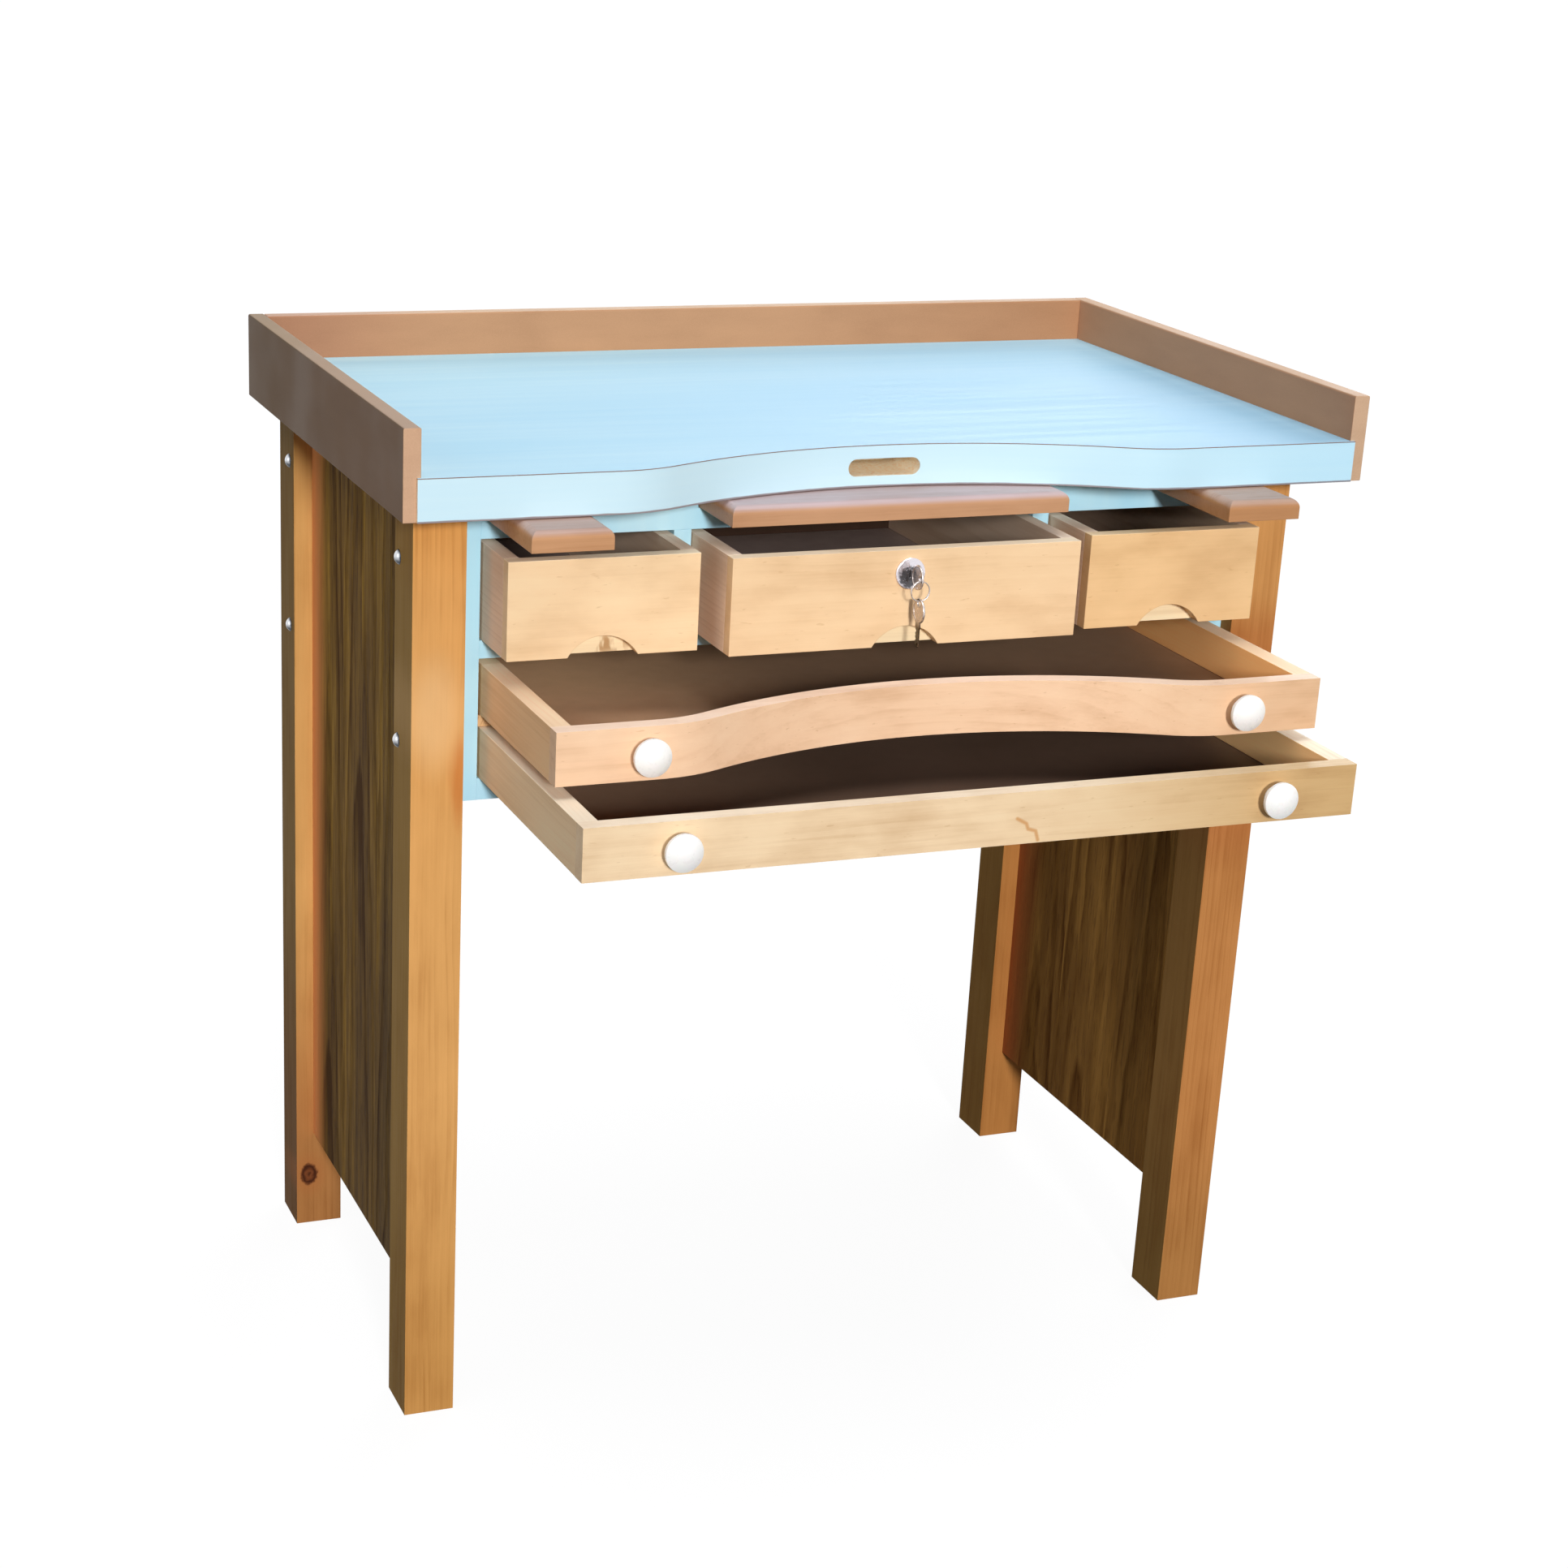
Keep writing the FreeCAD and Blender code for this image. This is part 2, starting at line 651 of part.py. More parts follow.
def square_tail(start_y, end_y, width):
    half = width / 2
    return box(-half, half, start_y, end_y, lock_z - half, lock_z + half)


cam_y = barrel_end_y + cam_gap


def lock_plug():
    """Turning plug with the keyway at its front and a square tail for the cam."""
    plug = rod(plug_diameter, barrel_end_y - plug_face_y, (0, plug_face_y, lock_z), Y_AXIS)
    tail = square_tail(barrel_end_y, cam_y + cam_thickness + tail_stake, tail_width)
    slot_half = key_thickness / 2 + groove_gap
    slot_reach = key_blade_width / 2 + groove_gap
    keyway = box(
        -slot_half, slot_half, plug_face_y, plug_face_y + key_blade_length + groove_gap,
        lock_z - slot_reach, lock_z + slot_reach)
    return plug.fuse(tail).cut(keyway)


def lock_cam():
    """Flat arm that points sideways when unlocked and up behind the rail when locked."""
    half = cam_width / 2
    arm = box(0, cam_length, cam_y, cam_y + cam_thickness, lock_z - half, lock_z + half)
    hub = rod(cam_width, cam_thickness, (0, cam_y, lock_z), Y_AXIS)
    hole = square_tail(cam_y, cam_y + cam_thickness, tail_width + 2 * bore_gap)
    return arm.fuse(hub).cut(hole).removeSplitter()


def key_blank():
    """A key lying along +Y in the YZ plane, with the hole in its bow at the origin."""
    half = key_thickness / 2
    bow = rod(key_bow_diameter, key_thickness, (-half, key_hole_offset, 0), X_AXIS)
    neck_y = key_hole_offset + key_bow_diameter / 2
    overlap = key_neck_length
    neck = box(
        -half, half, neck_y - overlap, neck_y + key_neck_length,
        -key_neck_width / 2, key_neck_width / 2)
    blade_y = neck_y + key_neck_length
    blade = box(
        -half, half, blade_y, blade_y + key_blade_length,
        -key_blade_width / 2, key_blade_width / 2)
    key = bow.fuse(neck).fuse(blade)
    pitch = key_blade_length / (key_cut_count + 1)
    for i in range(key_cut_count):
        y = blade_y + pitch * (i + 1)
        cut_points = [
            FreeCAD.Vector(-half, y - key_cut_depth, -key_blade_width / 2),
            FreeCAD.Vector(-half, y, -key_blade_width / 2 + key_cut_depth),
            FreeCAD.Vector(-half, y + key_cut_depth, -key_blade_width / 2),
            FreeCAD.Vector(-half, y - key_cut_depth, -key_blade_width / 2),
        ]
        key = key.cut(Part.Face(Part.makePolygon(cut_points)).extrude(X_AXIS * key_thickness))
    key = key.cut(rod(key_hole_diameter, key_thickness, (-half, 0, 0), X_AXIS))
    return key.removeSplitter()


def spare_key():
    """The same key hanging from the bottom of the ring, with its blade down."""
    key = key_blank()
    key.rotate(FreeCAD.Vector(0, 0, 0), X_AXIS, -90)
    key.translate(FreeCAD.Vector(0, key_hole_y, spare_hole_z))
    return key


def key_in_lock():
    key = key_blank()
    key.translate(FreeCAD.Vector(0, key_hole_y, lock_z))
    return key


add("lock_cylinder", lock_cylinder())
add("lock_nut", lock_nut())
add("lock_plug", lock_plug())
add("lock_cam", lock_cam())
add("key", key_in_lock())
add("key_ring", Part.makeTorus(
    ring_diameter / 2, ring_wire_diameter / 2, FreeCAD.Vector(0, key_hole_y, ring_centre_z), Y_AXIS))
add("spare_key", spare_key())


# ---------------------------------------------------------------- trays
def knob(x, face_y, z):
    """Turned knob: foot, waisted neck and a round head with a domed front."""
    foot = knob_foot_diameter / 2
    neck = knob_neck_diameter / 2
    head = knob_diameter / 2
    head_back = knob_projection - knob_head_thickness
    rim_front = knob_projection - knob_dome_height
    dome_radius = (head ** 2 + knob_dome_height ** 2) / (2 * knob_dome_height)
    lean = math.asin(head / dome_radius) / 2
    half_way_y = knob_projection - dome_radius * (1 - math.cos(lean))
    outline = [
        (0, 0), (foot, 0), (foot, knob_foot_height), (neck, head_back - knob_foot_height),
        (neck, head_back), (head, head_back + knob_back_bevel), (head, rim_front),
    ]
    points = [FreeCAD.Vector(radius, -forward, 0) for radius, forward in outline]
    half_way = FreeCAD.Vector(dome_radius * math.sin(lean), -half_way_y, 0)
    tip = FreeCAD.Vector(0, -knob_projection, 0)
    dome = Part.Arc(points[-1], half_way, tip).toShape()
    axis_line = Part.LineSegment(tip, points[0]).toShape()
    wire = Part.Wire(Part.makePolygon(points).Edges + [dome, axis_line])
    shape = Part.Face(wire).revolve(FreeCAD.Vector(0, 0, 0), Y_AXIS, 360)
    shape.translate(FreeCAD.Vector(x, face_y, z))
    bore_diameter = knob_screw_diameter + 2 * bore_gap
    bore_start = (x, face_y - knob_screw_reach, z)
    return shape.cut(rod(bore_diameter, knob_screw_reach, bore_start, Y_AXIS))


def knob_screw(x, face_y, z):
    inner_y = face_y + tray_front_thickness
    reach = knob_screw_reach + tray_front_thickness
    shank = rod(knob_screw_diameter, reach, (x, face_y - knob_screw_reach, z), Y_AXIS)
    head = rod(knob_screw_head_diameter, knob_screw_head_height, (x, inner_y, z), Y_AXIS)
    return shank.fuse(head).removeSplitter()


def add_tray(name, front_y, z, knob_offset, recessed):
    """A shallow tray: the front laps the ends of the sides, the back is between them."""
    top = z + tray_height
    end_y = front_y + tray_depth
    side_y = front_y + tray_front_thickness
    back_y = end_y - tray_back_thickness
    inner_half = tray_half - tray_side_thickness
    panel_half = inner_half + tray_groove_depth
    bottom_z = z + tray_bottom_rise
    panel_setback = tray_front_thickness - tray_groove_depth
    panel_end = back_y + tray_groove_depth
    groove_z = bottom_z - groove_gap
    groove_height = tray_bottom_thickness + 2 * groove_gap
    if recessed:
        front = recessed_strip(tray_half, front_y, tray_front_thickness, z, tray_height)
        panel = recessed_board(
            panel_half - groove_gap, front_y, panel_setback + groove_gap,
            panel_end - groove_gap, bottom_z, tray_bottom_thickness)
        groove = recessed_board(
            panel_half, front_y, panel_setback, panel_end, groove_z, groove_height)
    else:
        front = box(-tray_half, tray_half, front_y, side_y, z, top)
        panel = box(
            groove_gap - panel_half, panel_half - groove_gap,
            front_y + panel_setback + groove_gap, panel_end - groove_gap,
            bottom_z, bottom_z + tray_bottom_thickness)
        groove = box(
            -panel_half, panel_half, front_y + panel_setback, panel_end,
            groove_z, groove_z + groove_height)
    knob_z = z + tray_height / 2
    for x in (-knob_offset, knob_offset):
        screw_hole = knob_screw_diameter + 2 * bore_gap
        front = front.cut(rod(screw_hole, tray_front_thickness, (x, front_y, knob_z), Y_AXIS))
    side = box(inner_half, tray_half, side_y, end_y, z, top).cut(groove)
    back = box(-inner_half, inner_half, back_y, end_y, z, top).cut(groove)
    add(name + "_front", front.cut(groove))
    add(name + "_sides", *both_sides(side))
    add(name + "_back", back)
    add(name + "_bottom", panel)
    add(name + "_knobs", *[knob(x, front_y, knob_z) for x in (-knob_offset, knob_offset)])
    add(name + "_knob_screws", *[knob_screw(x, front_y, knob_z) for x in (-knob_offset, knob_offset)])


add_tray("upper_tray", upper_tray_front, upper_tray_z, upper_knob_offset, True)
add_tray("lower_tray", lower_tray_front, lower_tray_z, lower_knob_offset, False)


# ---------------------------------------------------------------- export
os.makedirs("parts", exist_ok=True)
for node_name, shape in nodes.items():
    placed = shape.copy()
    placed.translate(FreeCAD.Vector(0, -origin_y, 0))
    placed.exportStep("parts/" + node_name + ".step")
print(len(nodes), "nodes, all valid:", all(shape.isValid() for shape in nodes.values()))
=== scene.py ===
"""Looks, light and camera of the jewellers bench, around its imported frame. All lengths are metres."""
import math

import bmesh
import bpy
from mathutils import Matrix, Vector


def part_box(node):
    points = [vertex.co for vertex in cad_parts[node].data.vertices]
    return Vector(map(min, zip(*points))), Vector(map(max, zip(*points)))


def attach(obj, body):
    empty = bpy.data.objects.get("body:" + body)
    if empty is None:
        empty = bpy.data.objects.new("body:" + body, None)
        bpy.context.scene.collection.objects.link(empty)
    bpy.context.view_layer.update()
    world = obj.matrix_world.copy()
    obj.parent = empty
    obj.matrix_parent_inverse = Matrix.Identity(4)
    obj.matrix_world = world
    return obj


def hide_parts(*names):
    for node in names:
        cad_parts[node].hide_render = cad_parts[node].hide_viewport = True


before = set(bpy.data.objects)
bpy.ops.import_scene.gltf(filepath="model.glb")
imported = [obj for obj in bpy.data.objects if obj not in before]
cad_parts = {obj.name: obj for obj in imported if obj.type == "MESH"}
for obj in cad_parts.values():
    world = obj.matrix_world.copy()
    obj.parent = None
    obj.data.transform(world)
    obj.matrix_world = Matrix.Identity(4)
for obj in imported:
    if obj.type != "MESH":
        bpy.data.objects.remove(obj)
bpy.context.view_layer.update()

scene = bpy.context.scene
MM = 0.001

# -------------------- camera, as it stood for the photograph
FRAME_PIXELS = 1932
FOCAL_PIXELS = 3676.3
AXIS_PIXEL = (843.5, 1124.3)             # where the lens axis meets the picture
CAMERA_PLACE = Vector((-1.2194, -2.7101, 1.5805))
CAMERA_YAW = math.radians(21.74)
CAMERA_PITCH = math.radians(-20.6)
CAMERA_ROLL = math.radians(2.55)
SENSOR_WIDTH = 36.0                      # millimetres, as Blender counts a sensor

# -------------------- light
# Each lamp: its share of a level that shows white as white on a face turned to it, its azimuth
# to the right of the bench's front, its elevation and its apparent size, in degrees.
LAMPS = {
    "key_light": (0.87, -9, 15, 8),
    "left_light": (0.16, -75, 20, 50),
    "top_light": (0.42, 20, 80, 40),
    "back_light": (0.45, 135, 20, 45),
}
SKY = (0.085, 0.095, 0.115)              # what the open air around the object gives it
FLOOR_REACH = 60.0
FLOOR_DROP = 0.2 * MM                    # keeps the floor out of the plane of the feet
FLOOR_BOUNCE = 0.10                      # share of the light that the floor gives back to the object
FLOOR_SHADOW = 0.10                      # share of the floor's own shading that the camera sees
FLOOR_GLOW = 1.035                       # makes up for what that shading takes from white


# -------------------- colours
def rgb(red, green, blue):
    """A colour given in sRGB steps of 0 to 255, as linear RGBA."""
    def linear(step):
        share = step / 255
        return share / 12.92 if share <= 0.04045 else ((share + 0.055) / 1.055) ** 2.4
    return (linear(red), linear(green), linear(blue), 1.0)


def grey(value):
    return (value, value, value, 1.0)


def shaded(colour, shares):
    """The colour with each of its channels times its share, at most white."""
    return tuple(min(1.0, channel * share) for channel, share in zip(colour, shares)) + (1.0,)


# -------------------- writing materials
class Graph:
    """One material, and a short way to write its nodes."""

    def __init__(self, name, roughness, settings=()):
        self.material = bpy.data.materials.new(name)
        self.material.use_nodes = True
        self.tree = self.material.node_tree
        self.shader = self.tree.nodes["Principled BSDF"]
        self.shader.inputs["Roughness"].default_value = roughness
        for socket, value in dict(settings).items():
            self.shader.inputs[socket].default_value = value
        self.place = self.node("ShaderNodeTexCoord").outputs["Object"]
        axes = self.node("ShaderNodeSeparateXYZ")
        self.put(axes.inputs[0], self.place)
        self.axis = dict(zip("xyz", axes.outputs))

    def node(self, kind, **settings):
        made = self.tree.nodes.new(kind)
        for key, value in settings.items():
            setattr(made, key, value)
        return made

    def put(self, socket, value):
        if isinstance(value, bpy.types.NodeSocket):
            self.tree.links.new(value, socket)
        else:
            socket.default_value = value

    def math(self, operation, *values):
        made = self.node("ShaderNodeMath", operation=operation)
        for socket, value in zip(made.inputs, values):
            self.put(socket, value)
        return made.outputs[0]

    def add(self, *values):
        total = values[0]
        for value in values[1:]:
            total = self.math("ADD", total, value)
        return total

    def minus(self, first, second):
        return self.math("SUBTRACT", first, second)

    def times(self, first, second):
        return self.math("MULTIPLY", first, second)

    def swing(self, field, strength):
        """How far a field of 0 to 1 is from its middle, times a strength."""
        return self.times(self.minus(field, 0.5), strength)

    def spread(self, value, low, high, to_low=0.0, to_high=1.0):
        made = self.node("ShaderNodeMapRange", interpolation_type="SMOOTHSTEP")
        for socket, number in zip(made.inputs, (value, low, high, to_low, to_high)):
            self.put(socket, number)
        return made.outputs[0]

    def point(self, x, y, z):
        made = self.node("ShaderNodeCombineXYZ")
        for socket, value in zip(made.inputs, (x, y, z)):
            self.put(socket, value)
        return made.outputs[0]

    def scaled(self, *scales):
        """The place on the object, with each axis times its scale."""
        return self.point(*[self.times(self.axis[name], scale) for name, scale in zip("xyz", scales)])

    def distance(self, centre, radii):
        """How far a place is from a point, as a share of the radius along each axis that has one."""
        total = None
        for name, middle, radius in zip("xyz", centre, radii):
            if radius is None:
                continue
            leg = self.math("DIVIDE", self.minus(self.axis[name], middle), radius)
            square = self.times(leg, leg)
            total = square if total is None else self.add(total, square)
        return self.math("SQRT", total)

    def patch(self, centre, radii, inner, outer, strength, rough=0.0):
        """Its strength round a place up to the inner share of its radii, and nothing from outer on."""
        away = self.add(self.distance(centre, radii), rough)
        return self.spread(away, inner, outer, strength, 0.0)

    def facing(self, name, kind="True Normal"):
        """How far the surface faces along +X, +Y or +Z."""
        axes = self.node("ShaderNodeSeparateXYZ")
        self.put(axes.inputs[0], self.node("ShaderNodeNewGeometry").outputs[kind])
        return axes.outputs["xyz".index(name)]

    def noise(self, vector, scale=1.0, detail=2.0, roughness=0.5):
        made = self.node("ShaderNodeTexNoise")
        self.put(made.inputs["Vector"], vector)
        self.put(made.inputs["Scale"], scale)
        self.put(made.inputs["Detail"], detail)
        self.put(made.inputs["Roughness"], roughness)
        return made.outputs[0]

    def noise_along(self, value, scale):
        made = self.node("ShaderNodeTexNoise", noise_dimensions="1D")
        self.put(made.inputs["W"], value)
        self.put(made.inputs["Scale"], scale)
        self.put(made.inputs["Detail"], 1.0)
        return made.outputs[0]

    def cells(self, vector, scale):
        """A random grey for each cell of a Voronoi pattern."""
        made = self.node("ShaderNodeTexVoronoi")
        self.put(made.inputs["Vector"], vector)
        self.put(made.inputs["Scale"], scale)
        return made.outputs["Color"]

    def mix(self, share, first, second, kind="MIX"):
        made = self.node("ShaderNodeMix", data_type="RGBA", blend_type=kind)
        self.put(made.inputs[0], share)
        self.put(made.inputs[6], first)
        self.put(made.inputs[7], second)
        return made.outputs[2]

    def multiplied(self, share, colour, shares):
        """The colour with its channels times their shares, as far as share says."""
        return self.mix(share, colour, shares + (1.0,), "MULTIPLY")

    def ramp(self, value, stops):
        made = self.node("ShaderNodeValToRGB")
        elements = made.color_ramp.elements
        while len(elements) < len(stops):
            elements.new(1.0)
        for element, (position, colour) in zip(elements, stops):
            element.position = position
            element.color = colour
        self.put(made.inputs[0], value)
        return made.outputs[0]

    def tinted(self, tone, colour, tints):
        """The colour where tone is 0.5, and its darker and lighter tints at 0 and 1."""
        darker, lighter = tints
        stops = ((0.0, shaded(colour, darker)), (0.5, colour), (1.0, shaded(colour, lighter)))
        return self.ramp(tone, stops)

    def toned(self, colour, axis, shares, both_ways=True):
        """The colour times its shares on faces that look along an axis."""
        facing = self.facing(axis)
        if both_ways:
            facing = self.math("ABSOLUTE", facing)
        return self.multiplied(self.spread(facing, 0.2, 0.85), colour, shares)

    def faded(self, colour, fades):
        """The colour after each fade: an axis, where its shares are full, where they end, and shares.

        The two places are in millimetres.
        """
        for axis, start, end, shares in fades:
            share = self.spread(self.axis[axis], start * MM, end * MM, 1.0, 0.0)
            colour = self.multiplied(share, colour, shares)
        return colour

    def bump(self, height, distance):
        made = self.node("ShaderNodeBump")
        self.put(made.inputs["Distance"], distance)
        self.put(made.inputs["Height"], height)
        self.put(self.shader.inputs["Normal"], made.outputs[0])

    def paint(self, colour, roughness=None):
        self.put(self.shader.inputs["Base Color"], colour)
        if roughness is not None:
            self.put(self.shader.inputs["Roughness"], roughness)
        return self.material


# -------------------- timber
LATE_WOOD = ((0.0, grey(0.0)), (0.5, grey(0.18)), (0.88, grey(1.0)), (1.0, grey(0.0)))
WOOD_TINTS = ((0.60, 0.47, 0.34), (1.22, 1.27, 1.36))
ARCH_DEPTH = 26 * MM             # how far below the veneer the pith lies
ARCH_TAPER = 0.055
LEAF_STEP = 0.37                 # how much further along its log each leaf of veneer is cut
VENEER_MIDDLE = 0.36             # share of the light colour in the veneer's middle tone
BOUNCE_EDGE = 75 * MM              # where the painted bounce light on the veneer's rear edge begins
BOUNCE_RIM = 15 * MM               # where it is full


def wood(name, along, colour, near, pith, ring=4 * MM, sway=4 * MM, line=0.5, streak=0.5, patch=0.4,
         roughness=0.42, gloss=0.03, coat=0.0, mottle=0.0, flecks=0.0, side=None, top=None,
         fades=(), extra=None):
    """Solid timber: rings round a pith that runs along one axis, fibres and cloudy patches.

    near is a place at the board, and pith says how far from it the rings' centre lies on the two
    other axes, in millimetres. ring is the rings' mean width and sway how far they wander. line,
    streak, patch, mottle and flecks are strengths. side and top are what the colour is times on
    faces that look along X and up; they paint light and shade, and in places paler cut edges too.
    fades are as in Graph.faded, and extra(graph, colour) may paint more on top.
    """
    g = Graph(name, roughness, {"Specular IOR Level": gloss, "Coat Weight": coat, "Coat Roughness": 0.16})
    across = [axis for axis in "xyz" if axis != along]
    u, v = [
        g.minus(g.axis[axis], getattr(near, axis) + offset * MM) for axis, offset in zip(across, pith)]

    def figure(across_scale, along_scale, detail=2.0, grit=0.5):
        """Noise of so many waves per metre across and along the grain."""
        stretched = g.point(
            g.times(u, across_scale), g.times(v, across_scale), g.times(g.axis[along], along_scale))
        return g.noise(stretched, 1.0, detail, grit)

    radius = g.math("SQRT", g.add(g.times(u, u), g.times(v, v)))
    bent = g.add(radius, g.swing(figure(14, 2.2), 4 * sway), g.swing(figure(90, 9, 1.0), 0.5 * sway))
    age = g.math("DIVIDE", bent, ring)
    phase = g.math("FRACT", g.add(age, g.times(g.noise_along(age, 0.45), 1.6)))
    late = g.ramp(phase, LATE_WOOD)
    clear = g.spread(figure(26, 3.5, 1.0), 0.32, 0.62)
    fibres = figure(420, 9, 3.0, 0.62)
    tone = g.add(
        g.minus(0.5, g.times(g.times(g.minus(late, 0.35), clear), line)),
        g.swing(fibres, streak), g.swing(figure(75, 2.6), streak), g.swing(figure(11, 5), patch),
        g.swing(figure(48, 20, 3.0), mottle))
    painted = g.tinted(tone, colour, WOOD_TINTS)
    if flecks:
        marks = g.spread(figure(300, 70), 0.68, 0.76)
        painted = g.mix(g.times(marks, flecks), painted, shaded(colour, WOOD_TINTS[0]))
    if side:
        painted = g.toned(painted, "x", side)
    if top:
        painted = g.toned(painted, "z", top, both_ways=False)
    painted = g.faded(painted, fades)
    if extra:
        painted = extra(g, painted)
    g.bump(g.add(fibres, g.times(late, 0.3)), 0.12 * MM)
    return g.paint(painted, g.spread(fibres, 0.3, 0.7, roughness + 0.07, roughness - 0.06))


def veneer(name, first_y, last_y, leaves, light, dark, shift, ring, lines, stripes, stripe, painted_bounce, fades):
    """Flat-sawn oak veneer: leaves side by side, each with arched figure, stripes and dark pores.

    light and dark are the ends of its colours, shift moves the figure along the grain, and ring
    is the arches' mean width. lines and stripes are strengths, stripe is the stripes' width,
    and painted_bounce is painted light near the rear edge of the face that looks left, the colour
    that the lit leg beside it throws there. fades are as in Graph.faded.
    """
    g = Graph(name, 0.5, {"Specular IOR Level": 0.01})
    y, z = g.axis["y"], g.axis["z"]
    leaf = (last_y - first_y) / leaves
    count = g.math("DIVIDE", g.minus(y, first_y), leaf)
    number = g.math("FLOOR", count)
    from_middle = g.swing(g.math("FRACT", count), leaf)
    u = g.add(from_middle, g.swing(g.noise_along(number, 3.7), 0.6 * leaf))
    along = g.add(z, g.times(number, LEAF_STEP), shift)

    def figure(across_scale, along_scale, detail=2.0, grit=0.5):
        """Noise of so many waves per metre across and along the grain."""
        stretched = g.point(
            g.times(g.axis["x"], 30), g.times(u, across_scale), g.times(along, along_scale))
        return g.noise(stretched, 1.0, detail, grit)

    wander = g.minus(figure(13, 3.2, 3.0), 0.5)
    reach = g.math("SQRT", g.add(g.times(u, u), ARCH_DEPTH * ARCH_DEPTH))
    bent = g.add(
        reach, g.times(wander, 40 * MM), g.swing(figure(60, 16), 7 * MM), g.times(along, ARCH_TAPER))
    age = g.math("DIVIDE", bent, ring)
    late = g.ramp(g.math("FRACT", g.add(age, g.noise_along(age, 0.6))), LATE_WOOD)
    broken = g.spread(figure(38, 7), 0.36, 0.58)
    pores = g.spread(figure(300, 26, 2.0, 0.7), 0.36, 0.50, 1.0, 0.0)
    upright = g.spread(figure(1 / stripe, 2.5, 3.0, 0.6), 0.34, 0.66)
    thin = g.spread(figure(2.6 / stripe, 5.0, 3.0, 0.6), 0.30, 0.70)
    tone = g.add(
        0.5, g.times(g.times(g.minus(late, 0.3), broken), -lines), g.swing(upright, stripes),
        g.swing(thin, 0.6 * stripes), g.times(pores, -0.16), g.swing(figure(9, 3), 0.9))
    middle = tuple(VENEER_MIDDLE * a + (1 - VENEER_MIDDLE) * b for a, b in zip(light, dark))
    painted = g.faded(g.ramp(tone, ((0.0, dark), (0.5, middle), (1.0, light))), fades)
    # painted light near the rear edge of the face that looks left, as thrown by the lit leg beside it
    edge = g.spread(g.add(y, g.times(wander, 30 * MM)), last_y - BOUNCE_EDGE, last_y - BOUNCE_RIM, 0.0, 0.9)
    looks_left = g.spread(g.facing("x"), -0.9, -0.5, 1.0, 0.0)
    painted = g.mix(g.times(edge, looks_left), painted, painted_bounce)
    g.bump(g.minus(g.times(pores, -1.0), g.times(late, 0.4)), 0.1 * MM)
    return g.paint(painted, g.spread(late, 0.0, 1.0, 0.46, 0.56))


# -------------------- boards, sheet and plastic
FIBRE_TINTS = ((0.62, 0.56, 0.50), (1.3, 1.32, 1.34))
LAMINATE_TINTS = ((0.72, 0.90, 0.97), (1.26, 1.10, 1.03))
SHEET_EDGE_DARKER = (0.7, 0.65, 0.6)
EGGSHELL = 1400.0                # grains per metre of a hard sheet's surface
EGGSHELL_DEPTH = 0.02 * MM
# the chips are paler than raw chipboard: partly their own colour, partly painted light that stands for the
# light in the worktop's slot
CHIP_STOPS = ((0.0, rgb(240, 200, 150)), (0.45, rgb(255, 238, 208)), (1.0, rgb(255, 250, 232)))
FOOT_LINE = (1.3 * MM, 2.2 * MM)  # the front edge's strip is dark up to the first height, and its own colour from the other
FOOT_LINE_COLOUR = rgb(128, 104, 104)


def fibreboard(name, colour, roughness=0.62, speckle=0.10, mottle=0.10, streak=(1, 1, 1), face=None,
               edge=(1.0, 1.0, 1.0), outer=None, top=None, fades=()):
    """Pressed fibre board: fine specks, slow mottling and a slightly fuzzy surface.

    face is the axis that its broad faces look along; its cut edges are the colour times edge,
    outer is the same for the broad face on the side of negative values, and top for the edge
    that looks up. fades are as in Graph.faded.
    """
    g = Graph(name, roughness, {"Specular IOR Level": 0.2})
    fine = g.noise(g.place, 950.0, 3.0, 0.7)
    middle = g.noise(g.scaled(*streak), 60.0, 3.0)
    slow = g.noise(g.place, 7.0)
    tone = g.add(0.5, g.swing(fine, 5 * speckle), g.swing(middle, 4 * mottle), g.swing(slow, 5 * mottle))
    painted = g.tinted(tone, colour, FIBRE_TINTS)
    if face:
        facing = g.facing(face)
        painted = g.multiplied(g.spread(g.math("ABSOLUTE", facing), 0.4, 0.8, 1.0, 0.0), painted, edge)
        if outer:
            painted = g.multiplied(g.spread(facing, -0.8, -0.4, 1.0, 0.0), painted, outer)
    if top:
        painted = g.toned(painted, "z", top, both_ways=False)
    g.bump(fine, 0.08 * MM)
    return g.paint(
        g.faded(painted, fades), g.spread(slow, 0.35, 0.65, roughness - 0.05, roughness + 0.08))


def chipboard(name):
    """The worktop's raw core: pressed chips of different browns."""
    g = Graph(name, 0.8, {"Specular IOR Level": 0.2})
    chips = g.cells(g.scaled(1, 1, 2.2), 430.0)
    dust = g.noise(g.place, 1500.0, 3.0, 0.7)
    tone = g.add(g.times(chips, 0.7), g.times(dust, 0.3))
    g.bump(g.add(chips, dust), 0.15 * MM)
    return g.paint(g.ramp(tone, CHIP_STOPS))


def laminate(name, colour, roughness, edge=None, grain=(3.0, 70.0, 70.0), cloudy=1.3, gloss=0.25, fades=()):
    """Hard printed sheet: an even colour with faint long streaks and an eggshell surface.

    edge is the colour of the sheet's own cut edge, for faces that don't look up, cloudy how
    strong its slow unevenness is, gloss how strongly it mirrors, and fades are as in
    Graph.faded.
    """
    g = Graph(name, roughness, {"Specular IOR Level": gloss})
    streaks = g.noise(g.scaled(*grain), detail=3.0)
    clouds = g.noise(g.scaled(*[0.12 * waves + 2.0 for waves in grain]), detail=3.0)
    tone = g.add(0.5, g.swing(streaks, 0.6), g.swing(clouds, cloudy))
    painted = g.faded(g.tinted(tone, colour, LAMINATE_TINTS), fades)
    if edge:
        upwards = g.spread(g.facing("z"), 0.4, 0.8)
        painted = g.mix(upwards, g.mix(streaks, edge, shaded(edge, SHEET_EDGE_DARKER)), painted)
    g.bump(g.noise(g.place, EGGSHELL), EGGSHELL_DEPTH)
    return g.paint(painted, g.spread(streaks, 0.3, 0.7, roughness - 0.05, roughness + 0.06))


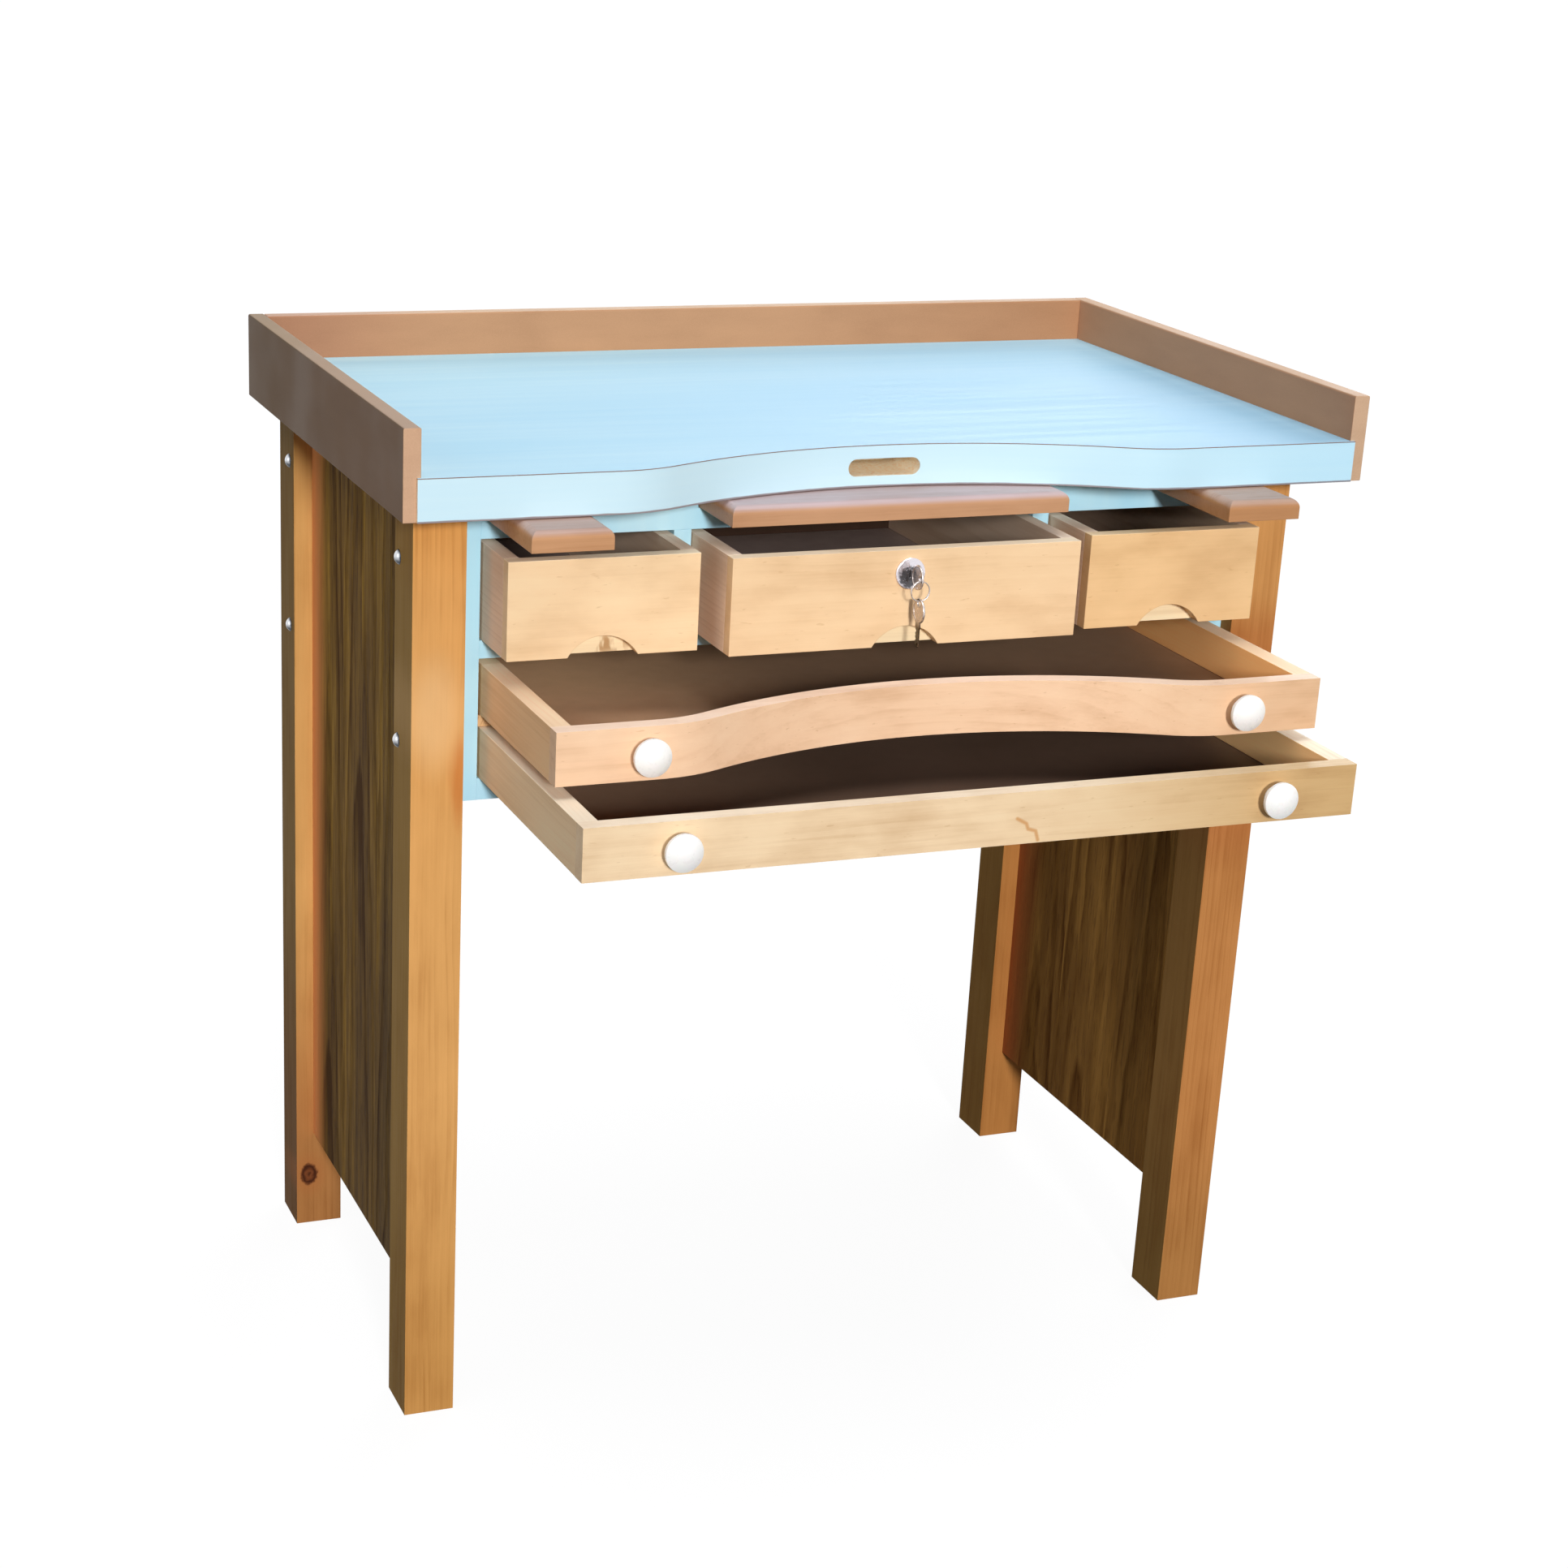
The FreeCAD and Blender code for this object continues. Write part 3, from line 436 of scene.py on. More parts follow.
def edge_band(name, colour, foot_z, fades):
    """The front edge's strip, with a dark line along its foot."""
    g = Graph(name, 0.35)
    flow = g.noise(g.scaled(4, 4, 160))
    wave = g.swing(g.noise(g.scaled(30, 30, 1)), 1.2 * MM)
    painted = g.mix(flow, shaded(colour, (0.95, 0.98, 1.0)), shaded(colour, (1.02, 1.01, 1.0)))
    low, high = FOOT_LINE
    foot_line = g.spread(g.add(g.axis["z"], wave), foot_z + low, foot_z + high, 1.0, 0.0)
    painted = g.faded(g.mix(g.times(foot_line, 0.85), painted, FOOT_LINE_COLOUR), fades)
    g.bump(g.noise(g.place, EGGSHELL), EGGSHELL_DEPTH)
    return g.paint(painted, g.spread(flow, 0.3, 0.7, 0.30, 0.40))


def plastic(name, colour):
    """Moulded white plastic with the faint unevenness of handled gloss."""
    g = Graph(name, 0.3, {"Specular IOR Level": 0.5, "Subsurface Weight": 0.08, "Subsurface Scale": 2 * MM})
    handling = g.noise(g.place, 180.0, 3.0)
    clouds = g.noise(g.place, 60.0, 1.0)
    painted = g.mix(clouds, colour, shaded(colour, (0.96, 0.955, 0.945)))
    g.bump(handling, 0.03 * MM)
    return g.paint(painted, g.spread(handling, 0.3, 0.7, 0.24, 0.38))


def metal(name, colour, roughness, turned=None, wear=0.6, fades=(), extra=None):
    """Plated metal: cloudy gloss, fine scratches and, round a turned axis, tool rings.

    turned is a point on the axis, along Y, that the rings run round. fades are as in
    Graph.faded, and extra(graph, colour) may paint shade or a dark reflection on top.
    """
    g = Graph(name, roughness, {"Metallic": 1.0})
    cloud = g.noise(g.place, 260.0, 3.0)
    scratches = g.noise(g.scaled(900, 160, 900), 1.0, 3.0, 0.7)
    painted = g.mix(g.times(cloud, wear), colour, shaded(colour, (0.62, 0.60, 0.58)))
    painted = g.faded(painted, fades)
    if extra:
        painted = extra(g, painted)
    height = scratches
    if turned is not None:
        radius = g.distance(turned, (1.0, None, 1.0))
        height = g.add(g.times(scratches, 0.4), g.noise_along(radius, 2600.0))
    g.bump(height, 0.02 * MM)
    return g.paint(painted, g.spread(cloud, 0.3, 0.7, roughness - 0.08, roughness + 0.12))


# -------------------- dressing CAD nodes
SHARP_ANGLE = math.radians(32)
FLAT_ANGLE = math.radians(0.4)
WELD_DISTANCE = 0.01 * MM


def smooth(mesh):
    mesh.polygons.foreach_set("use_smooth", [True] * len(mesh.polygons))
    return mesh


def dress(material, *names, edge):
    """Gives CAD nodes their material and softens their sharp edges by a small radius."""
    for name in names:
        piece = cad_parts[name]
        mesh = piece.data
        mesh.materials.clear()
        mesh.materials.append(material)
        normals = mesh.attributes.get("custom_normal")
        if normals:
            mesh.attributes.remove(normals)
        smooth(mesh)
        weld = piece.modifiers.new("weld", "WELD")
        weld.merge_threshold = WELD_DISTANCE
        flat = piece.modifiers.new("flat", "DECIMATE")
        flat.decimate_type = "DISSOLVE"
        flat.angle_limit = FLAT_ANGLE
        bevel = piece.modifiers.new("edge", "BEVEL")
        bevel.width = edge
        bevel.segments = 2
        bevel.limit_method = "ANGLE"
        bevel.angle_limit = SHARP_ANGLE
        weighted = piece.modifiers.new("weighted", "WEIGHTED_NORMAL")
        weighted.keep_sharp = True


def centre(name):
    low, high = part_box(name)
    return (low + high) / 2


def low_corner(name):
    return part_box(name)[0]


# -------------------- legs and end panels
KNOT = Vector((-453.6, 348.3, 61.6)) * MM      # on the left rear leg's front face
KNOT_RADII = (10 * MM, 40 * MM, 14 * MM)
KNOT_HALO = rgb(168, 104, 58)
KNOT_RINGS = (
    (0.0, rgb(52, 28, 18)), (0.35, rgb(118, 66, 38)), (0.75, rgb(62, 32, 20)), (1.0, rgb(128, 76, 44)))
RED_PATCH = Vector((-418.0, 0.0, 688.0)) * MM      # a reddish patch at the left front leg's right edge, beside the trays
RED_PATCH_RADII = (13 * MM, None, 46 * MM)
SAPWOOD = Vector((-445.0, 0.0, 752.0)) * MM    # a paler cloud above it
SAPWOOD_RADII = (30 * MM, None, 60 * MM)
TRAY_SHADE_BAND = Vector((0.0, 0.0, 660.0)) * MM      # painted shade: a redder, darker band across the right front leg, below the trays
TRAY_SHADE_BAND_RADII = (None, None, 150 * MM)
# painted shade and dark reflection on the bolt heads, darkest at the leg's face and underneath
BOLT_SHADE = (0.04, 0.045, 0.055, 1.0)
BOLT_SHADE_GAP = 0.3 * MM                           # thick as far as this from the leg's face
BOLT_SHADE_DEPTH = 2.4 * MM                         # and thinning out over this


def with_knot(g, colour):
    """A dark round knot with a paler centre, and a halo where the grain flows round it."""
    rough = g.swing(g.noise(g.place, 220.0, 3.0), 0.5)
    away = g.add(g.distance(KNOT, KNOT_RADII), rough)
    haloed = g.mix(g.spread(away, 1.0, 2.6, 0.5, 0.0), colour, KNOT_HALO)
    return g.mix(g.spread(away, 0.9, 1.12, 1.0, 0.0), haloed, g.ramp(away, KNOT_RINGS))


# A reddish patch on the left front leg, and a paler cloud above it.
def with_red_patch(g, colour):
    rough = g.swing(g.noise(g.scaled(60, 60, 14)), 0.9)
    reddened = g.patch(RED_PATCH, RED_PATCH_RADII, 0.2, 1.3, 0.62, rough)
    colour = g.mix(reddened, colour, rgb(196, 112, 50))
    return g.mix(g.patch(SAPWOOD, SAPWOOD_RADII, 0.3, 1.3, 0.5), colour, rgb(238, 196, 142))


# Painted shade: the right front leg redder and darker in a band below the trays.
def with_tray_shade(g, colour):
    return g.multiplied(g.patch(TRAY_SHADE_BAND, TRAY_SHADE_BAND_RADII, 0.4, 1.1, 1.0), colour, (0.92, 0.78, 0.78))


def bolt_shade(face_x):
    """Metal with painted shade and dark reflection: dark where it meets a face at the given distance from
    the middle, and below.
    """
    def extra(g, colour):
        rough = g.swing(g.noise(g.place, 420.0), 1.2 * MM)
        out = g.add(g.math("ABSOLUTE", g.axis["x"]), rough)
        rim = g.spread(out, face_x + BOLT_SHADE_GAP, face_x + BOLT_SHADE_GAP + BOLT_SHADE_DEPTH, 1.0, 0.0)
        under = g.spread(g.facing("z", "Normal"), -0.45, 0.25, 0.95, 0.0)
        return g.mix(g.math("MAXIMUM", rim, under), colour, BOLT_SHADE)
    return extra


def dress_frame():
    # Painted light and shade: the legs' colours darken from the left front leg to the right rear one, for
    # light that falls off across the bench; side darkens the faces that look along X as shade; the low z
    # fades darken three legs towards their feet as shade; the left front leg's high fade darkens it under
    # the worktop as shade, and the right front leg's high fade is painted light above the trays.
    legs = {
        "leg_front_left": dict(
            colour=rgb(215, 158, 93), pith=(90, 40), side=(0.53, 0.61, 0.55), extra=with_red_patch,
            fades=(("z", 40, 360, (0.82, 0.79, 0.70)), ("z", 950, 830, (1.0, 0.94, 0.84)))),
        "leg_rear_left": dict(
            colour=rgb(200, 151, 89), pith=(-80, 60), side=(0.44, 0.48, 0.47), extra=with_knot,
            fades=(("z", 90, 420, (0.66, 0.52, 0.50)),)),
        "leg_front_right": dict(
            colour=rgb(187, 126, 71), pith=(70, -60), side=(0.74, 0.90, 0.88), extra=with_tray_shade,
            fades=(("z", 20, 260, (0.78, 0.82, 0.78)), ("z", 830, 775, (1.20, 1.36, 1.45)))),
        "leg_rear_right": dict(colour=rgb(174, 116, 61), pith=(60, 80), side=(0.76, 0.94, 0.92)),
    }
    for name, looks in legs.items():
        timber = wood(
            name + "_timber", "z", near=centre(name), ring=7 * MM, sway=4 * MM, line=0.18, streak=0.34,
            patch=0.6, mottle=0.3, roughness=0.5, gloss=0.01, **looks)
        dress(timber, name, edge=1.3 * MM)

    # The fades are painted light and shade: the left panel lighter towards its top and darker towards its
    # foot, the right panel lighter towards its front and darker towards its rear.
    panels = {
        "left": dict(
            light=rgb(190, 146, 66), dark=rgb(70, 45, 17), painted_bounce=rgb(236, 156, 98), shift=0.11,
            ring=24 * MM, lines=0.42, stripes=0.36, stripe=26 * MM,
            fades=(("z", 900, 500, (1.30, 1.30, 1.12)), ("z", 180, 560, (0.76, 0.74, 0.62)))),
        "right": dict(
            light=rgb(224, 164, 84), dark=rgb(104, 64, 25), painted_bounce=rgb(170, 100, 56), shift=0.52,
            ring=24 * MM, lines=0.50, stripes=0.14, stripe=20 * MM,
            fades=(("y", -40, 150, (1.45, 1.45, 1.45)), ("y", 360, 110, (0.66, 0.64, 0.56)))),
    }
    low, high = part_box("end_panel_left")
    for side, looks in panels.items():
        figured = veneer("oak_veneer_" + side, low.y, high.y, leaves=3, **looks)
        dress(figured, "end_panel_" + side, edge=0.5 * MM)

    leg_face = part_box("leg_front_right")[1].x
    zinc = metal("zinc_plate", (0.80, 0.82, 0.86, 1.0), 0.16, extra=bolt_shade(leg_face))
    dress(zinc, "frame_bolts", "bolt_inserts", edge=0.2 * MM)


# -------------------- worktop, surround and carcass
SKY_BLUE = rgb(174, 218, 244)
PALE_BLUE = rgb(204, 232, 242)
FOIL_BLUE = rgb(184, 227, 243)
KRAFT = rgb(150, 128, 122)


def dress_worktop():
    # The fades are painted light: the sheet is lighter towards the back and towards the left.
    sheet = laminate(
        "worktop_laminate_sheet", SKY_BLUE, 0.45, edge=KRAFT, cloudy=0.5, gloss=0.06,
        fades=(("y", 400, 40, (1.13, 1.09, 1.03)), ("x", -420, 260, (1.14, 1.09, 1.02))))
    dress(sheet, "worktop_laminate", edge=0.25 * MM)
    # painted shade: the strip is darker in red towards its right end
    strip = edge_band(
        "edge_band_sheet", PALE_BLUE, low_corner("worktop_edge_band").z,
        fades=(("x", 480, 20, (0.84, 0.94, 1.0)),))
    dress(strip, "worktop_edge_band", edge=0.3 * MM)
    dress(chipboard("worktop_chips"), "worktop_core", edge=0.3 * MM)

    # Painted light and shade: outer darkens the left board's outer face and top its top edge, as shade; the
    # fades darken the left board towards its rear and the back board towards both ends, as shade in the
    # corners; edge makes the cut edges paler and bluer, partly their own colour and partly painted light
    # from above.
    boards = {
        "left": dict(
            colour=rgb(180, 138, 106), face="x", edge=(1.33, 1.46, 1.60), outer=(0.315, 0.315, 0.29),
            top=(0.645, 0.72, 0.80), fades=(("y", 400, -60, (0.78, 0.80, 0.72)),)),
        "right": dict(colour=rgb(185, 139, 106), face="x", edge=(1.19, 1.46, 1.68)),
        "back": dict(
            colour=rgb(180, 134, 98), face="y", edge=(1.50, 2.0, 2.65),
            fades=(("x", -480, -260, (0.82, 0.74, 0.78)), ("x", 480, 60, (0.86, 0.80, 0.76)))),
    }
    for side, looks in boards.items():
        board = fibreboard(
            "surround_fibre_" + side, roughness=0.58, speckle=0.06, mottle=0.07,
            streak=(0.25, 0.25, 1), **looks)
        dress(board, "surround_" + side, edge=0.8 * MM)


def dress_carcass():
    foil = laminate("carcass_foil", FOIL_BLUE, 0.4, grain=(40.0, 40.0, 3.0))
    dress(
        foil, "carcass_sides", "carcass_bottom", "drawer_shelf", "drawer_partitions", "front_rail",
        edge=0.4 * MM)
    dress(fibreboard("hardboard_back", rgb(128, 94, 66), 0.5), "carcass_back", edge=0.2 * MM)
    runner = wood(
        "runner_beech", "y", rgb(214, 170, 122), low_corner("armrest_guides"), (-200, -100),
        ring=3 * MM, sway=2 * MM)
    dress(runner, "tray_runners", "armrest_guides", "centre_slide_guides", edge=0.5 * MM)


# -------------------- drawers, trays and pull-outs
CRACK = [
    Vector((x, 0.0, z)) * MM
    for x, z in ((31.0, 704.5), (40.8, 699.0), (43.0, 693.5), (51.0, 691.0), (54.0, 682.0))]
CRACK_HALF_WIDTH = 1.4 * MM
CRACK_COLOUR = rgb(206, 142, 74)
# painted shade: the lower tray's front is darker and warmer towards its right end
LOWER_TRAY_FADES = (("x", 390, -60, (0.71, 0.61, 0.44)),)
STAIN_COLOUR = rgb(168, 122, 70)
STAIN_HEIGHT = 8 * MM                          # of its middle above the board's foot
STAIN_RADII = (30 * MM, None, 10 * MM)
LIT_RIGHT_SIDE = (370 * MM, 200 * MM)               # where the trays' right sides have painted light, and where it ends


def with_crack(g, colour):
    """A short jagged grain break, the nearest of a few straight strokes, on a board that fades."""
    nearest = None
    for start, end in zip(CRACK[:-1], CRACK[1:]):
        stroke = end - start
        x = g.minus(g.axis["x"], start.x)
        z = g.minus(g.axis["z"], start.z)
        dot = g.add(g.times(x, stroke.x), g.times(z, stroke.z))
        share = g.math("DIVIDE", dot, stroke.length_squared)
        share = g.math("MINIMUM", g.math("MAXIMUM", share, 0.0), 1.0)
        off_x = g.minus(x, g.times(share, stroke.x))
        off_z = g.minus(z, g.times(share, stroke.z))
        away = g.math("SQRT", g.add(g.times(off_x, off_x), g.times(off_z, off_z)))
        nearest = away if nearest is None else g.math("MINIMUM", nearest, away)
    line = g.spread(nearest, 0.3 * CRACK_HALF_WIDTH, 2 * CRACK_HALF_WIDTH, 0.7, 0.0)
    return g.faded(g.mix(line, colour, CRACK_COLOUR), LOWER_TRAY_FADES)


def stained(place):
    """A board with brown stains round one place, as behind the left drawer's finger notch."""
    def extra(g, colour):
        blots = g.spread(g.noise(g.scaled(130, 130, 40)), 0.48, 0.62)
        near = g.patch(place, STAIN_RADII, 0.4, 1.5, 0.8)
        return g.mix(g.times(near, blots), colour, STAIN_COLOUR)
    return extra


def with_lit_right_side(g, colour):
    """Painted light: the faces of the tray's right side are warmer and a little lighter than those of its
    left one.
    """
    share = g.spread(g.axis["x"], *LIT_RIGHT_SIDE, 1.0, 0.0)
    sideways = g.spread(g.math("ABSOLUTE", g.facing("x")), 0.5, 0.9)
    return g.multiplied(g.times(share, sideways), colour, (1.24, 1.06, 0.78))


def dress_drawers():
    bottom = fibreboard("hardboard_drawer", rgb(160, 140, 132), 0.5)
    # Painted shade: the drawers' backs are near black, standing for the deep shade under the pull-outs.
    dark = fibreboard("drawer_backs_painted_shade", rgb(66, 44, 30), 0.6)
    # Painted light and shade: the fronts darken from left to right, for light that falls off across the
    # bench, and top makes the top edges of the fronts and sides paler and bluer, partly the cut edges' own
    # paler wood and partly painted light from above.
    fronts = (
        ("left_drawer", rgb(243, 211, 168), (-60, 90)),
        ("centre_drawer", rgb(238, 203, 160), (50, -110)),
        ("right_drawer", rgb(231, 191, 140), (-50, 100)),
    )
    for name, colour, pith in fronts:
        middle = centre(name + "_front")
        front = wood(
            name + "_birch", "x", colour, middle, pith, ring=12 * MM, sway=12 * MM, line=0.04,
            streak=0.1, patch=0.5, mottle=0.35, flecks=0.28, coat=0.1, top=(1.12, 1.30, 1.60))
        dress(front, name + "_front", edge=0.7 * MM)
        notch = centre(name + "_inner_front")
        notch.z = low_corner(name + "_inner_front").z + STAIN_HEIGHT
        inner = wood(
            name + "_inner_birch", "x", rgb(244, 222, 182), middle, pith, ring=5 * MM, line=0.12,
            streak=0.2, roughness=0.5, extra=stained(notch) if name == "left_drawer" else None)
        dress(inner, name + "_inner_front", edge=0.5 * MM)
        side = wood(
            name + "_side_birch", "y", rgb(238, 208, 181), low_corner(name + "_sides"), (-50, -70),
            ring=6 * MM, sway=5 * MM, line=0.10, streak=0.16, patch=0.6, roughness=0.5,
            top=(1.05, 1.14, 1.24))
        dress(side, name + "_sides", edge=0.6 * MM)
        dress(dark, name + "_back", edge=0.5 * MM)
        dress(bottom, name + "_bottom", edge=0.2 * MM)


def dress_trays():
    # Painted light and shade: side_shares make the sides lighter than their front as painted light, the
    # lower tray's bottom is darker than the upper one's as painted shade under it, the upper front's fade
    # darkens its right end as painted shade, and top makes the fronts' and sides' top edges paler and
    # bluer, partly their own paler cut wood and partly painted light from above.
    trays = {
        "upper_tray": dict(
            colour=rgb(240, 201, 165), pith=(70, -100), side_shares=(1.1, 1.03, 0.86),
            bottom=rgb(150, 118, 94), fades=(("x", 390, 120, (0.86, 0.82, 0.76)),), extra=None),
        "lower_tray": dict(
            colour=rgb(240, 211, 172), pith=(-90, 120), side_shares=(1.1, 1.08, 1.06),
            bottom=rgb(106, 84, 70), fades=(), extra=with_crack),
    }
    for name, looks in trays.items():
        colour, pith, middle = looks["colour"], looks["pith"], centre(name + "_front")
        front = wood(
            name + "_front_timber", "x", colour, middle, pith, ring=11 * MM, sway=9 * MM, line=0.08,
            streak=0.16, patch=0.6, mottle=0.4, flecks=0.3, coat=0.1, top=(1.16, 1.32, 1.62),
            fades=looks["fades"], extra=looks["extra"])
        dress(front, name + "_front", edge=0.7 * MM)
        side = wood(
            name + "_side_timber", "y", shaded(colour, looks["side_shares"]),
            low_corner(name + "_sides"), (-60, 90), ring=8 * MM, sway=6 * MM, line=0.10, streak=0.18,
            patch=0.6, roughness=0.5, top=(1.08, 1.28, 1.62), extra=with_lit_right_side)
        dress(side, name + "_sides", edge=0.6 * MM)
        back = wood(
            name + "_back_timber", "x", colour, middle, pith, ring=6 * MM, line=0.24, roughness=0.5)
        dress(back, name + "_back", edge=0.5 * MM)
        # The fade paints light: each bottom is lighter towards its left end.
        bottom = fibreboard(
            name + "_hardboard", looks["bottom"], 0.42, speckle=0.08, mottle=0.06,
            fades=(("x", -390, -20, (2.5, 2.55, 2.4)),))
        dress(bottom, name + "_bottom", edge=0.2 * MM)
    white = plastic("knob_plastic", rgb(251, 249, 246))
    dress(white, "upper_tray_knobs", "lower_tray_knobs", edge=0.3 * MM)


def dress_pull_outs():
    # top makes each top face paler and bluer: a painted reflection of the bright light above.
    pieces = (
        ("left_armrest", rgb(194, 144, 103), (50, -60), (0.88, 1.13, 1.90)),
        ("right_armrest", rgb(181, 130, 87), (-50, -70), (1.08, 1.50, 2.70)),
        ("centre_slide", rgb(192, 145, 108), (80, -90), (1.00, 1.42, 2.65)),
    )
    for name, colour, pith, top in pieces:
        beech = wood(
            name + "_beech", "x", colour, centre(name), pith, ring=5 * MM, sway=4 * MM, line=0.12,
            streak=0.3, patch=0.5, mottle=0.3, roughness=0.36, coat=0.3, top=top)
        dress(beech, name, edge=0.5 * MM)


# -------------------- making meshes
def new_piece(name, mesh, material, body, node):
    """A mesh becomes a shown piece that rides on a body and stands for a CAD node."""
    piece = bpy.data.objects.new(name, mesh)
    scene.collection.objects.link(piece)
    mesh.materials.clear()
    mesh.materials.append(material)
    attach(piece, body)
    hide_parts(node)


def finished_mesh(name, build):
    """The mesh of a bmesh that is no longer needed, with its faces turned outwards."""
    bmesh.ops.recalc_face_normals(build, faces=build.faces)
    mesh = bpy.data.meshes.new(name)
    build.to_mesh(mesh)
    build.free()
    return mesh


def turned_mesh(name, outline, steps):
    """A closed outline of (radius, height) turned about +Z."""
    build = bmesh.new()
    rings = []
    for i in range(steps):
        angle = 2 * math.pi * i / steps
        rings.append([build.verts.new((r * math.cos(angle), r * math.sin(angle), h)) for r, h in outline])
    for i, ring in enumerate(rings):
        after = rings[(i + 1) % steps]
        for j in range(len(outline)):
            k = (j + 1) % len(outline)
            build.faces.new((ring[j], after[j], after[k], ring[k]))
    bmesh.ops.remove_doubles(build, verts=build.verts, dist=0.001 * MM)
    return smooth(finished_mesh(name, build))


def plate_mesh(name, outlines, half_thickness, rounding):
    """Flat outlines in XY, the later ones holes, filled and thickened with rounded edges."""
    curve = bpy.data.curves.new(name, "CURVE")
    curve.dimensions = "2D"
    curve.fill_mode = "BOTH"
    curve.extrude = half_thickness - rounding
    curve.bevel_depth = rounding
    curve.bevel_resolution = 2
    curve.offset = -rounding
    for outline in outlines:
        spline = curve.splines.new("POLY")
        spline.points.add(len(outline) - 1)
        for point, (x, y) in zip(spline.points, outline):
            point.co = (x, y, 0.0, 1.0)
        spline.use_cyclic_u = True
    holder = bpy.data.objects.new(name, curve)
    mesh = bpy.data.meshes.new_from_object(holder)
    bpy.data.objects.remove(holder)
    bpy.data.curves.remove(curve)
    return mesh


def joined(name, meshes, places):
    """Meshes, each moved by its matrix, as one mesh. The meshes themselves are used up."""
    build = bmesh.new()
    for mesh, place in zip(meshes, places):
        moved = mesh.copy()
        moved.transform(place)
        build.from_mesh(moved)
        bpy.data.meshes.remove(moved)
    for mesh in set(meshes):
        bpy.data.meshes.remove(mesh)
    bmesh.ops.remove_doubles(build, verts=build.verts, dist=0.0005 * MM)
    return finished_mesh(name, build)


def arc(centre_x, radius, steps, start=0.0, end=2 * math.pi):
    """Points on a circle round a place on the X axis, from start up to but not at end."""
    turn = (end - start) / steps
    return [
        (centre_x + radius * math.cos(start + turn * i), radius * math.sin(start + turn * i))
        for i in range(steps)]


# -------------------- lock, keys and ring
KEY_BOW = 12 * MM                # radius
KEY_HOLE = 3 * MM                # radius
KEY_HOLE_OFFSET = 7.5 * MM       # from the bow's centre
KEY_NECK = 4.5 * MM              # half width
KEY_NECK_LENGTH = 4 * MM
KEY_BLADE = 3.5 * MM             # half width
KEY_BLADE_LENGTH = 20 * MM
KEY_TIP = (1.6 * MM, 2.2 * MM)   # length and width of the corners cut off its tip
KEY_HALF_THICKNESS = 1 * MM
KEY_ROUNDING = 0.15 * MM
KEY_CUTS = (1.6, 0.8, 1.5, 1.0)  # depths of the cuts in the blade, millimetres: each is twice as wide
CUT_FLOOR = 0.3                  # share of a cut's width that its flat floor takes
BOW_RIM = 2.2 * MM               # width
HOLE_RIM = 1.5 * MM              # width
RIM_ROUNDING = 0.25 * MM
KEY_RELIEF = 0.35 * MM           # how far the blank lies below the rims
WIRE = 0.55 * MM                 # the split ring's wire, radius
WIRE_FLATNESS = 0.96             # its section's height as a share of its width
RING_TURNS = 2
RING_STEPS = 56                  # per turn
RING_START = math.radians(200)
RING_STEP_OVER = 14              # how suddenly one turn steps over to the next
SIDES_OF_WIRE = 10
KEY_NICKEL = (0.66, 0.61, 0.60, 1.0)
# the chrome's purple tint is a painted reflection
LOCK_CHROME = (0.86, 0.82, 0.88, 1.0)
# painted reflection: the lock's dark lower half
DARK_REFLECTION = (0.05, 0.05, 0.054, 1.0)
DARK_REFLECTION_OFFSET = Vector((-0.5, 0.0, -4.0)) * MM
DARK_REFLECTION_RADII = (12 * MM, None, 10.5 * MM)


def rim_outline(radius, width):
    """A raised rim's section on one side of its axis, with softened corners."""
    inner, reach, soft = radius - width, KEY_HALF_THICKNESS, RIM_ROUNDING
    return [
        (radius, soft - reach), (radius, reach - soft), (radius - soft, reach),
        (inner + soft, reach), (inner, reach - soft), (inner, soft - reach),
        (inner + soft, -reach), (radius - soft, -reach)]


def key_mesh(name):
    """A key in the XY plane with its hole at the origin and its blade along +X."""
    meet = math.asin(KEY_NECK / KEY_BOW)
    bow = arc(KEY_HOLE_OFFSET, KEY_BOW, 40, meet, 2 * math.pi - meet)
    shoulder = KEY_HOLE_OFFSET + KEY_BOW + KEY_NECK_LENGTH
    tip = shoulder + KEY_BLADE_LENGTH
    tip_length, tip_width = KEY_TIP
    lower = [(shoulder, -KEY_NECK), (shoulder, -KEY_BLADE)]
    pitch = KEY_BLADE_LENGTH / (len(KEY_CUTS) + 1)
    for number, depth in enumerate(KEY_CUTS):
        x = shoulder + pitch * (number + 1)
        cut = depth * MM
        lower += [(x - cut, -KEY_BLADE), (x - CUT_FLOOR * cut, cut - KEY_BLADE)]
        lower += [(x + CUT_FLOOR * cut, cut - KEY_BLADE), (x + cut, -KEY_BLADE)]
    lower += [(tip - tip_length, -KEY_BLADE), (tip, -KEY_BLADE + tip_width)]
    upper = [(tip, KEY_BLADE - tip_width), (tip - tip_length, KEY_BLADE), (shoulder, KEY_BLADE)]
    upper.append((shoulder, KEY_NECK))
    hole = arc(0.0, KEY_HOLE, 24)[::-1]
    blank = plate_mesh(name, [bow + lower + upper, hole], KEY_HALF_THICKNESS - KEY_RELIEF, KEY_ROUNDING)
    bow_rim = turned_mesh(name, rim_outline(KEY_BOW, BOW_RIM), 56)
    hole_rim = turned_mesh(name, rim_outline(KEY_HOLE + HOLE_RIM, HOLE_RIM), 32)
    places = (Matrix.Identity(4), Matrix.Translation((KEY_HOLE_OFFSET, 0, 0)), Matrix.Identity(4))
    return joined(name, (blank, bow_rim, hole_rim), places)


